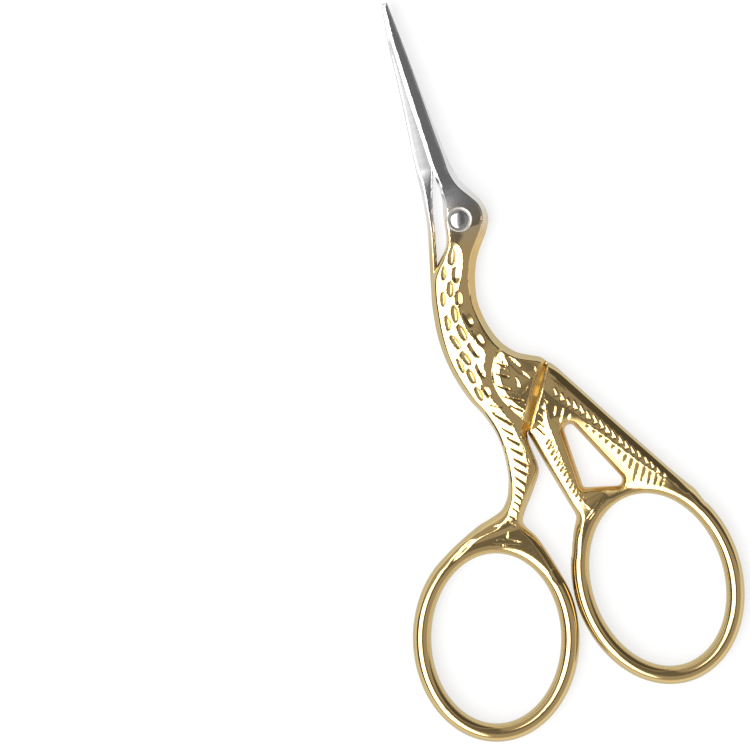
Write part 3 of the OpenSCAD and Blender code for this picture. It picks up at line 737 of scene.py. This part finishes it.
# Teeth stand on the quill, with notches and then long cuts below it
quill_teeth = [
    (5.17, -30.53, 5.36, -29.38), (5.89, -31.56, 6.09, -30.41), (6.51, -32.64, 6.7, -31.5),
    (7.38, -33.5, 7.57, -32.09), (8.14, -34.5, 8.33, -33.03), (8.81, -35.6, 9.0, -34.23),
    (9.6, -36.5, 9.79, -35.08), (10.3, -37.6, 10.49, -36.2), (10.91, -38.6, 11.1, -37.28),
    (11.55, -39.6, 11.74, -38.28), (12.31, -40.8, 12.5, -39.51), (12.95, -41.75, 13.14, -40.51),
    (13.56, -42.8, 13.75, -41.6), (14.32, -43.75, 14.51, -42.54), (15.08, -44.95, 15.27, -43.77),
    (15.72, -45.9, 15.91, -44.77), (16.33, -46.9, 16.52, -45.85), (17.11, -47.9, 17.31, -47.0)]
tail_strokes = [(x0 + 0.2, y0, x1 + 0.1, y1 + 0.2, 0.78, 0.29, TOOTH, 0.1) for x0, y0, x1, y1 in quill_teeth]
quill_cuts = [
    (8.85, -36.13, 8.38, -36.6), (9.57, -37.2, 9.14, -37.7), (10.31, -38.19, 9.84, -38.8),
    (10.95, -39.19, 10.48, -39.85), (11.68, -40.21, 11.06, -40.98), (12.4, -41.24, 11.67, -42.1),
    (13.05, -42.24, 12.14, -43.4), (13.63, -43.12, 12.63, -44.84), (14.3, -44.03, 12.68, -46.81),
    (15.06, -44.97, 13.66, -47.37), (15.73, -45.88, 14.55, -47.93), (16.4, -46.79, 15.47, -48.37),
    (17.07, -47.7, 16.39, -48.84)]
for i, (x0, y0, x1, y1) in enumerate(quill_cuts):
    width, depth = (0.6, 0.135) if i < 8 else (0.52, 0.115)
    tail_strokes.append((x0 - 0.15, y0 - 0.2, x1, y1, width, depth, WEDGE, 0.1))
# Cuts beside the seam, bright nicks above the window, a row of fine curls down the leg
seam_cuts = [(3.74, -31.28, 3.45, -30.4), (3.16, -32.26, 2.57, -31.28), (2.42, -33.18, 1.86, -32.21),
             (2.24, -34.59, 1.27, -33.09), (2.03, -35.79, 0.98, -33.97)]
tail_strokes += [cut + (0.24, 0.12, BARB, 0.75) for cut in seam_cuts]
window_nicks = [(4.06, -33.35, 4.73, -32.0), (4.55, -34.68, 5.79, -32.65), (5.78, -34.8, 6.5, -33.8)]
tail_strokes += [nick + (0.4, 0.08, BARB, 0.15) for nick in window_nicks]
leg_curls = [(2.05, -36.87), (2.08, -37.66), (2.22, -38.69), (2.39, -39.63), (2.57, -40.56), (2.77, -41.51),
             (3.03, -42.38), (3.12, -43.39), (3.31, -44.43), (3.52, -45.28), (3.78, -45.96), (4.16, -46.87)]
for x, y in leg_curls:
    tail_strokes.append((x - 0.45, y - 0.3, x + 0.35, y + 0.35, 0.4, 0.13, BARB, 0.7))
    tail_strokes.append((x + 0.25, y - 0.35, x + 0.75, y + 0.1, 0.22, 0.07, BARB, 0.7))
# Single bright lines: one on the shoulder, three where the leg meets the ring
tail_lines = [
    (5.3, -27.2, 7.2, -30.1, 0.36), (3.59, -50.0, 6.94, -47.61, 0.24), (3.94, -50.3, 7.34, -48.1, 0.2),
    (4.7, -48.7, 4.25, -47.9, 0.4)]
tail_strokes += upwards([line + (0.2 * line[4], BARB, 0.15) for line in tail_lines])

back_holes_xy = [h[:-1, :2] for h in back_holes]
layer_loop, tail_loop = split_at(back_outer, tail_seam)
layer_grid = [hex_grid(-9, 6, -35, -7, 0.7), hex_grid(-9, 6, -7, 9, 0.3), hex_grid(-4.3, 0.5, 9.1, 35.4, 0.2)]
layer = sheet(layer_loop, back_holes_xy[:1], [back_left, back_right, slit], back_top_layer,
              np.vstack(layer_grid))
tail = sheet(tail_loop, back_holes_xy[1:], tail_edges, back_top_tail,
             without_strokes(hex_grid(-2, 23, -54, -25, 0.2), tail_strokes),
             extra=np.vstack([stroke_points(tail_strokes), quill[:, :2], leg_crown[:, :2]]))
under = sheet(back_outer, back_holes_xy, back_chains + back_holes, back_under,
              hex_grid(-9, 25, -54, 36, 0.45))
past_seam = 2 - len(tail_seam)
walls = [wall(layer_loop[:past_seam], back_under, back_top_layer, closed=False),
         wall(tail_loop[:past_seam], back_under, back_top_tail, closed=False),
         wall(tail_seam[:, :2], back_top_layer, back_top_tail, closed=False)]
for hole, top in zip(back_holes_xy, (back_top_layer, back_top_tail, back_top_tail)):
    walls.append(wall(hole, back_under, top))
# Lines beside which shade and reflection from a facing edge are painted, and how strongly
back_half = closed_piece("back_half_forging", [layer, tail], [under], walls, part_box("back_half"),
                         [(window, 0.7), (back_leg, 0.2)])
stamp_with(back_half, stroke_object("Tail strokes", tail_strokes))
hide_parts("back_half")
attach(back_half, "back")


# Front half

# The front half is the other forging: blade, head, feathered neck, wing, leg and
# left finger ring. Below the arc-shaped step under the hip it has its full thickness.

LEFT_RING = (-15.24, -63.05)
front_left = edge_line([
    (-0.25, 35.4, 0.05, 0.95, 0.04, 0.88), (-0.42, 35.2, 0.06), (-0.6, 34.6, 0.08),
    (-1.12, 30, 0.24, 0.98, 0.06, 0.9), (-1.36, 25, 0.4, 0.99), (-1.5, 20, 0.46),
    (-1.5, 15, 0.38, 0.99, 0.06, 0.92), (-1.55, 9.6, 0.28, 0.98), (-1.45, 6.2, 0.3, 0.95, 0.1, 0.8),
    (-1.45, 3.4, 0.22, 0.8, 0.15, 0.3), (-1.85, 1.8, 0.22, 0.8, 0.2, 0.0), (-2.4, 0.2), (-2.65, -1.4),
    (-3.2, -3.1, 0.25, 0.84), (-4.3, -4.4, 0.3, 0.84, 0.5), (-5.6, -5.7), (-6.9, -7.3, 0.4, 0.83, 0.65),
    (-7.85, -9.8, 0.5, 0.83, 0.73), (-8.45, -12.6, 0.55), (-8.9, -16), (-8.9, -19.5, 0.5),
    (-8.4, -23.2, 0.45), (-7.4, -26.8, 0.4), (-6.15, -29.6, 0.35), (-5.3, -32.4, 0.28),
    (-5.0, -34.9, 0.2), (-5.05, -37), (-5.45, -39.8, 0.25, 0.83, 0.65), (-6.2, -42, 0.4, 0.83, 0.5),
    (-6.95, -43.4, 0.55, 0.84, 0.4), (-8.2, -44.6, 0.5, 0.65, 0.8, 0, 0, 2.0),
    (-10, -45.2, 0.5, 0.55, 1.2, 0, 0, 1.9), (-12, -45.65, 0.5, 0.55, 1.2, 0, 0, 1.85),
    (-14, -46.35, 0.7, 0.7, 0.8, 0, 0.4, 1.8), (-16, -47.18, 1.2, 0.9, 0.3, 0, 0.8, RING_PART),
    (-17.9, -48.08) + BAR_FORM, (-19.3, -48.84), (-20.42, -49.47)])
front_ring = oval(LEFT_RING, 12.9, 16.0, lean=18, start=135, end=395)
front_leg = edge_line([
    (-2.83, -55.4) + BAR_FORM, (-3.35, -53.2, 1.4), (-3.85, -51.4, 1.2, 0.95, 0.2, 0, 0.8, 1.8),
    (-4.4, -49.9, 1.0, 0.9, 0.3, 0, 0.5, 1.85), (-5.3, -48.3, 0.8, 0.86, 0.3, 0, 0.3, 1.9),
    (-5.55, -47.2, 0.7, 0.84, 0.3, 0, 0.1, 2.0), (-4.8, -45.9, 0.75, 0.84, 0.3, 0, 0, LAP_HIGH),
    (-3.2, -44, 0.8), (-1.75, -42.2), (-0.8, -40.8, 0.6), (-0.55, -39.6, 0.4), (-0.62, -38, 0.35),
    (-0.75, -36), (-0.6, -34.505)])
front_seam = edge_line([
    (-0.6, -34.505, 0.7, 0.86, 0.3, 0.3), (0.2, -33.3, 1.05, 0.92, 0.2, 0.52),
    (2.45, -30.05, 1.15, 0.92, 0.15, 0.55), (4.9, -26.5, 1.1), (5.5, -25.6, 0.8)])
front_right = edge_line([
    (5.5, -25.6, 0.5, 0.84, 0.35, 0), (5.6, -24.7, 0.6), (4.9, -23.9, 0.65), (3.5, -23.15, 0.7),
    (1.7, -22, 0.75), (0.1, -20), (-0.85, -17.5, 0.7), (-1.3, -15), (-1.35, -12.6, 0.75),
    (-0.8, -10, 0.85), (0.0, -7.8, 0.9), (0.9, -6.1), (1.95, -4.7, 0.85), (3.35, -3.0, 0.8),
    (4.25, -1.4, 0.75), (4.45, 0.1, 0.65), (4.15, 1.7, 0.6), (3.3, 3.4, 0.7), (2.2, 5.4, 0.8),
    (1.55, 7.6, 0.7), (1.2, 10, 0.4, 0.88, 0.2, 0.1), (0.95, 15, 0.3, 0.88, 0.2, 0.15),
    (0.78, 20, 0.2, 0.88, 0.15, 0.2), (0.6, 25, 0.12, 0.88, 0.12, 0.25), (0.4, 30, 0.08), (0.15, 35.2),
    (-0.03, 35.4), (-0.25, 35.4, 0.1, 0.8, 0.1, 0.2)])
left_hole = oval(LEFT_RING, 10.0, 13.1, lean=18, start=360, end=0)
front_ring = np.vstack([front_left[-1:], front_ring[1:-1], front_leg[:1]])
front_chains = [front_left, front_ring, front_leg, front_seam, front_right]
front_edges = front_chains + [left_hole]
front_outer = joined(*front_chains)

# Crown line of the neck and leg: the top falls gently to its left and more to its right
ridge = smooth_line([
    (-3.3, -2.2), (-1.7, -3.2), (-1.15, -4.5), (-1.45, -6.0), (-2.1, -7.6), (-3.1, -9.4), (-4.0, -11.0),
    (-4.45, -12.6), (-4.5, -14.6), (-4.25, -16.6), (-3.7, -18.2), (-3.0, -19.6), (-2.8, -20.9),
    (-3.4, -22.2), (-4.4, -23.6), (-4.7, -25.0), (-4.4, -26.6), (-3.9, -28.2), (-3.1, -30.2),
    (-2.4, -32.3), (-2.05, -34.5), (-1.95, -37), (-2.1, -39.5), (-2.9, -41.2), (-4.0, -43), (-5.2, -45),
    (-6.2, -46.6), (-6.6, -48.5)], 0.2)
# Front edge of the folded wing
wing_edge = smooth_line([
    (1.6, -21.2), (-0.2, -20.9), (-1.4, -21.5), (-2.4, -22.9), (-2.95, -24.4), (-3.1, -26.3),
    (-2.75, -28.4), (-2.0, -30), (-1.0, -31.6), (0.2, -33.6)], 0.2)
# Line along the front blade: level from here to its cutting edge, falling to its back
facet = smooth_line([
    (-0.36, 35.2), (-0.85, 30), (-0.93, 25), (-1.0, 20), (-1.08, 15), (-1.24, 9.6), (-1.28, 7),
    (-1.25, 4.5), (-1.2, 2.6)], 0.4)
# Groove over the shoulder of the left ring, with its width
streak = smooth_line([
    (-9.2, -46.7, 0.1), (-9.8, -46.85, 0.5), (-11.6, -47.1, 0.55), (-13.6, -47.6, 0.5),
    (-15.6, -48.5, 0.5), (-17.5, -49.55, 0.4), (-19.2, -50.6, 0.1)], 0.2)
RIDGE_FALL = (0.13, 0.27)


def eased(share):
    share = np.clip(share, 0, 1)
    return share * share * (3 - 2 * share)


def front_face(points):
    y = points[:, 1]
    blade = eased((y - 3) / 6)
    neck = eased((-1.3 - y) / 3.0)
    top = np.where(y < -25.6, handle_level(y), LAP_HIGH + layer_level(y))
    # The head is slightly domed round the eye, and the blade's face falls to its back
    r = np.linalg.norm(points, axis=1)
    dome = 0.011 * r**2 / np.sqrt(1 + (r / 5)**4)
    top = top - dome * np.clip((y + 10) / 9, 0, 1) * (1 - blade)
    fall, _ = roof(points, facet[::-1], 0.0, 0.11)
    top = top - fall * blade
    fall, side = roof(points, ridge[::-1], *RIDGE_FALL)
    fall = np.minimum(fall, np.where(side > 0, 0.85, 0.8))
    # The wing steps down from the neck at its front edge and rises again behind it
    d, side, _ = nearest_on(points, wing_edge[::-1])
    on_wing = (side < 0) & (y < -20.5) & (y > -34.5)
    lift = np.where(on_wing, np.clip(d / 0.22, 0, 1), 0)
    wing = 0.06 + 0.16 * np.maximum(1.25 - d, 0) + 0.15 * np.minimum(np.maximum(d - 1.25, 0), 5)
    fall = fall * (1 - lift) + lift * wing
    # Under the hatching the leg runs out into a web that dips towards the ring's bar
    dip = 0.17 * np.clip(-46.6 - y, 0, 1.6) * np.clip((y + 56) / 5, 0, 1)
    # A long groove over the shoulder of the ring, one wall of which faces the light
    d, side, width = nearest_on(points, streak, 3)
    w = width[:, 0]
    q = np.where(side > 0, -d, d)
    dip = dip + 0.27 * w * np.clip((q + w / 2) / w, 0, 1) * (1 - np.clip((q - w / 2) / 0.28, 0, 1))
    return top - fall * neck * np.clip((y + 47.3) / 2, 0, 1) - dip


def front_top(points):
    return drawn_in(points, front_edges, front_face(points))


def front_under(points):
    return drawn_in(points, front_edges, np.zeros(len(points)), under=True)


def lap(points):
    return np.full(len(points), LAP_HIGH)


neck_feathers = [
    (-2.4, -3.8, -3.5, -6.4, 1.35), (-4.6, -6.0, -5.3, -8.2, 0.85), (-2.8, -6.8, -3.6, -9.2, 1.35),
    (-4.3, -8.6, -5.2, -11, 1.2), (-6.0, -9.8, -6.7, -12, 0.9), (-3.6, -10.4, -4.3, -12.8, 1.25),
    (-5.0, -12.3, -5.6, -15, 1.25), (-6.6, -13.4, -7.0, -15.8, 0.9), (-4.0, -13.4, -3.3, -16.2, 1.3),
    (-5.3, -15.3, -4.9, -18.1, 1.25), (-6.9, -16.5, -6.2, -19, 1.05), (-3.5, -16.8, -2.6, -19.6, 1.2),
    (-4.5, -18.5, -3.8, -21.2, 1.3), (-6.2, -19.5, -5.5, -21.9, 1.2), (-7.1, -20.3, -6.9, -22.7, 0.85),
    (-6.1, -22.3, -5.8, -24.8, 1.15), (-4.5, -22, -4.1, -24.4, 1.2), (-5.8, -25.3, -5.6, -27.7, 1.0),
    (-4.7, -25.1, -4.2, -27.4, 1.1)]
# Feathers across the crown of the neck catch the light on their right side
crown_feathers = {2, 5, 8, 11, 12, 16, 18}
wing_facets = [
    (-1.12, -20.9, -0.23, -23.89, 0.85), (-2.31, -23.1, -0.18, -24.5, 0.5),
    (0.48, -22.45, 1.7, -24.47, 0.5), (1.61, -25.17, 2.47, -26.78, 0.45),
    (0.38, -25.79, 0.51, -27.59, 0.62), (-0.85, -27.9, 0.6, -28.7, 0.26),
    (0.6, -28.6, 1.78, -27.72, 0.26), (3.75, -25.16, 3.61, -25.99, 0.28),
    (-0.6, -29.3, 0.7, -30.4, 0.3), (-2.2, -26.9, 0.5, -28.9, 0.3), (-1.14, -7.2, -2.35, -12.7, 0.3),
    (3.37, -0.4, 2.91, -2.4, 0.32)]
wing_cuts = [
    (-0.51, -23.87, -1.89, -22.53, 0.45), (-0.6, -25.5, -2.47, -24.24, 0.6),
    (-1.1, -27.4, -2.85, -26.02, 0.6), (0.46, -29.8, -2.59, -27.86, 0.5), (0.1, -31.3, -1.9, -29.6, 0.4)]
leg_hatch = [
    (-2.9, -29.6, -4.7, -28.6, 0.35), (-2.2, -32.8, -4.7, -29.9, 0.7), (-2.5, -34.3, -4.3, -32.3, 0.5),
    (-2.05, -36.1, -3.8, -34.2, 0.75), (-2.05, -37.7, -3.8, -35.9, 0.8),
    (-2.05, -39.6, -3.9, -37.5, 0.85), (-2.5, -40.8, -4.3, -38.8, 0.8),
    (-3.1, -42.3, -4.6, -40.2, 0.75), (-3.9, -43.2, -5.1, -41.5, 0.65), (-4.5, -44.1, -5.5, -42.6, 0.6),
    (-5.1, -44.9, -6, -43.7, 0.5), (-5.7, -45.8, -6.5, -44.6, 0.45), (-6.5, -46.6, -7.4, -45.5, 0.5),
    (-6.9, -47.6, -7.9, -46.5, 0.45)]
# Bright streaks and fine lines where the leg spreads into the ring
foot_facets = [
    (-8.29, -47.9, -8.85, -49.0, 0.34), (-8.85, -48.95, -6.79, -50.2, 0.3),
    (-10.4, -48.55, -9.1, -48.95, 0.2), (-11.3, -48.9, -6.92, -50.6, 0.2)]
leg_lines = [
    (-1.4, -33.6, -1.86, -35.3, 0.16), (-1.86, -35.2, -1.84, -37.6, 0.17),
    (-1.83, -37.5, -1.72, -39.7, 0.16), (-1.15, -33.8, -1.27, -35.5, 0.14),
    (-1.27, -35.4, -1.07, -37.9, 0.15), (-1.06, -37.8, -1.09, -39.8, 0.14)]


def with_marks(rows, width, depth, kind, turn):
    """Strokes from rows of ends and width, as wide and as deep as these shares of it."""
    return [row[:4] + (width * row[4], depth * row[4], kind, turn) for row in rows]


feathers = [row + ((0.26, FEATHER, 0.4) if i in crown_feathers else (0.32, FEATHER, 0.86))
            for i, row in enumerate(neck_feathers)]
facets = (with_marks(wing_facets, 1, 0.32, BARB, 0.12) + with_marks(foot_facets, 1, 0.24, BARB, 0.12)
          + with_marks(leg_lines, 1, 0.42, BARB, 0.12))
front_strokes = (upwards(feathers + facets) + with_marks(wing_cuts, 1, 0.28, WEDGE, 0.9)
                 + with_marks(leg_hatch, 0.8, 0.17, WEDGE, 0.9))

fine_grid = np.vstack([hex_grid(-9, 6, -44, -2.5, 0.18), hex_grid(-20, -3.5, -56, -44.1, 0.17)])
front_grid = np.vstack([without_strokes(fine_grid, front_strokes), hex_grid(-3, 5, -2.4, 36, 0.25)])
groove_rows = [streak[:, :2] + (0.35 * off, off) for off in (-0.28, -0.1, 0.08, 0.28, 0.42, 0.56)]
front_extra = [stroke_points(front_strokes), ridge[:, :2], wing_edge[:, :2], facet[:, :2]] + groove_rows
hole_xy = [left_hole[:-1, :2]]
STEP_R = math.hypot(0.6, 34.505)
step_turns = np.linspace(math.asin(-5.0 / STEP_R), math.asin(-0.6 / STEP_R), 21)
step_line = np.array([(STEP_R * math.sin(a), -STEP_R * math.cos(a)) for a in step_turns])
for end in (0, -1):
    step_line[end] = front_outer[np.linalg.norm(front_outer - step_line[end], axis=1).argmin()]
leg_loop, layer_loop = split_at(front_outer, step_line)
top = sheet(front_outer, hole_xy, front_edges, front_top, front_grid, extra=np.vstack(front_extra))
layer = sheet(layer_loop, [], [], lap, hex_grid(-9, 6, -35, 36, 0.8))
leg = sheet(leg_loop, hole_xy, front_edges, front_under,
            np.vstack([hex_grid(-9, 1, -50, -34, 0.3), hex_grid(-18, -9.1, -50, -44, 0.35)]))
past_step = 2 - len(step_line)
walls = [wall(layer_loop[:past_step], lap, front_top, closed=False),
         wall(leg_loop[:past_step], front_under, front_top, closed=False),
         wall(step_line, front_under, lap, closed=False), wall(hole_xy[0], front_under, front_top)]
nape = front_right[(front_right[:, 1] > -15) & (front_right[:, 1] < -1)]
# Lines beside which shade and reflection from a facing edge are painted, and how strongly
front_half = closed_piece("front_half_forging", [top], [layer, leg], walls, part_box("front_half"),
                          [(front_seam, 1.0), (front_leg, 0.25), (nape, 0.5)])
stamp_with(front_half, stroke_object("Front strokes", front_strokes))
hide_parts("front_half")
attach(front_half, "front")


# Rivet

# The pivot is a steel rivet. Its head is the eye, a polished dome in a ring that falls
# inwards to it, and its tail is spread flush into the back of the lower half.


def arc_of(centre_r, centre_z, reach_r, reach_z, angles):
    """Points r, z of an arc, from angles in degrees."""
    return [(centre_r + reach_r * math.cos(math.radians(a)), centre_z + reach_z * math.sin(math.radians(a)))
            for a in angles]


tail_and_shank = [
    (1.2, 0.0), (1.72, 0.0), (1.75, 0.03), (1.75, 0.57), (1.72, 0.6), (1.25, 0.62), (1.25, 3.9)]
ring_outside = [(1.9, 4.0), (1.94, 4.05), (1.95, 4.2), (1.93, 4.3)]
ring_outside += arc_of(1.85, 4.33, 0.08, 0.08, (20, 40, 60, 90))
ring_inside = [(1.78, 4.395), (1.6, 4.31), (1.52, 4.265), (1.49, 4.19), (1.47, 4.14), (1.45, 4.13)]
dome = arc_of(0, 4.13, 1.45, 0.27, (4, 9, 15, 21, 28, 35, 43, 51, 60, 69, 79, 87))
profile = tail_and_shank + ring_outside + ring_inside + dome
ROUND = 96
verts, faces = [], []
for r, z in profile:
    for k in range(ROUND):
        t = 2 * math.pi * k / ROUND
        verts.append((r * math.cos(t) * 0.001, r * math.sin(t) * 0.001, z * 0.001))
for j in range(len(profile) - 1):
    for k in range(ROUND):
        m = (k + 1) % ROUND
        faces.append((j * ROUND + k, j * ROUND + m, (j + 1) * ROUND + m, (j + 1) * ROUND + k))
low, high = len(verts), len(verts) + 1
verts += [(0, 0, 0), (0, 0, 4.4e-3)]
last = (len(profile) - 1) * ROUND
for k in range(ROUND):
    m = (k + 1) % ROUND
    faces += [(low, m, k), (high, last + k, last + m)]
mesh = bpy.data.meshes.new("eye_rivet")
mesh.from_pydata(verts, [], faces)
mesh.update()
mesh.polygons.foreach_set("use_smooth", [True] * len(mesh.polygons))
mesh.set_sharp_from_angle(angle=math.radians(40))
eye = placed("eye_rivet", mesh)

rivet_steel, tree, shader = new_material("Polished rivet steel")
place = tree.nodes.new("ShaderNodeTexCoord").outputs["Object"]
marks = group_value(tree, polish, {"Position": place, "Scale": 1600, "Amount": 0.14})
flat = add_node(tree, "ShaderNodeVectorMath", {0: place, 1: (1, 1, 0)}, operation="MULTIPLY")
radius = add_node(tree, "ShaderNodeVectorMath", {0: flat.outputs[0]}, operation="LENGTH")
on_ring = smooth_range(tree, radius.outputs["Value"], 0.00144, 0.00152)
dull = math_node(tree, "ADD", math_node(tree, "MULTIPLY", on_ring, 0.34), 0.10)
fill(tree, shader, {"Metallic": 1, "Roughness": math_node(tree, "ADD", marks, dull),
                    "Base Color": colour_mix(tree, on_ring, (0.60, 0.59, 0.58), (0.70, 0.67, 0.63))})
mesh.materials.append(rivet_steel)
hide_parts("rivet")
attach(eye, "front")


# Stage

# Plain white paper under the scissors, lit by one large soft box above them on the left.
# The camera is turned, and looks straight down.
TURN = math.radians(18.63)
RIGHT = (math.cos(TURN), -math.sin(TURN), 0)
UP = (math.sin(TURN), math.cos(TURN), 0)

floor_mesh = bpy.data.meshes.new("floor")
corners = [(-4, -4, -0.0001), (4, -4, -0.0001), (4, 4, -0.0001), (-4, 4, -0.0001)]
floor_mesh.from_pydata(corners, [], [(0, 1, 2, 3)])
floor = placed("floor", floor_mesh)
paper, tree, shader = new_material("White paper")
rays = tree.nodes.new("ShaderNodeLightPath").outputs
seen = math_node(tree, "MAXIMUM", rays["Is Camera Ray"], rays["Is Glossy Ray"])
seen = math_node(tree, "MAXIMUM", seen, rays["Is Transmission Ray"])
fill(tree, shader, {"Base Color": (0.30, 0.30, 0.30, 1), "Roughness": 1, "Specular IOR Level": 0,
                    "Emission Color": (1, 1, 1, 1),
                    "Emission Strength": math_node(tree, "MULTIPLY", seen, 0.75)})
floor_mesh.materials.append(paper)

world = bpy.data.worlds.new("studio")
bpy.context.scene.world = world
world.use_nodes = True
sky = world.node_tree
way = sky.nodes.new("ShaderNodeTexCoord").outputs["Generated"]


def along(axis):
    return add_node(sky, "ShaderNodeVectorMath", {0: way, 1: axis}, operation="DOT_PRODUCT").outputs["Value"]


right, up, high = along(RIGHT), along(UP), along((0, 0, 1))
# Angles from straight above, towards the right and the top of the view
side_angle = math_node(sky, "ARCTAN2", right, high)
rise_angle = math_node(sky, "ARCTAN2", up, high)


def past(angle, degrees, soft):
    """1 where an angle is past some degrees, with a soft edge."""
    return smooth_range(sky, angle, math.radians(degrees - soft), math.radians(degrees + soft))


def patch(side_from, side_to, rise_from, rise_to, soft):
    """1 inside a four-sided patch of the studio, seen from the scissors, in degrees."""
    start = math_node(sky, "MULTIPLY", past(side_angle, side_from, soft), past(rise_angle, rise_from, soft))
    side_end = math_node(sky, "SUBTRACT", 1, past(side_angle, side_to, soft))
    rise_end = math_node(sky, "SUBTRACT", 1, past(rise_angle, rise_to, soft))
    return math_node(sky, "MULTIPLY", start, math_node(sky, "MULTIPLY", side_end, rise_end))


def turned_to(light, value, mask, share):
    change = math_node(sky, "SUBTRACT", value, light)
    change = math_node(sky, "MULTIPLY", change, math_node(sky, "MULTIPLY", mask, share))
    return math_node(sky, "ADD", light, change)


# Pale all round, brighter low down, then dark cards beside the soft box and to the upper
# right, a grey one above it, and the soft box itself
light = turned_to(0.36, 0.95, math_node(sky, "SUBTRACT", 1, smooth_range(sky, high, 0.0, 0.5)), 1.0)
for value, share, card in ((0.12, 0.9, (-3, 16, -16, 70, 4)), (0.07, 0.95, (-82, -57, -60, 40, 3)),
                           (0.07, 0.95, (22, 84, 22, 84, 6)), (0.36, 0.8, (-50, -8, 26, 75, 6))):
    light = turned_to(light, value, patch(*card), share)
light = math_node(sky, "ADD", light, math_node(sky, "MULTIPLY", patch(-52, -7, -54, 19, 3), 3.4))
fill(sky, sky.nodes["Background"].inputs, {"Color": (1, 1, 1, 1), "Strength": light})

LENS, SENSOR = 200, 36
VIEW_CENTRE, VIEW_WIDTH = (-0.01998, -0.01853), 0.11577
cam_data = bpy.data.cameras.new("camera")
cam_data.lens, cam_data.sensor_width = LENS, SENSOR
cam = placed("camera", cam_data)
cam.location = VIEW_CENTRE + (VIEW_WIDTH * LENS / SENSOR + 0.002,)
cam.rotation_euler = (0, 0, -TURN)
bpy.context.scene.camera = cam
bpy.context.scene.view_settings.view_transform = "Standard"
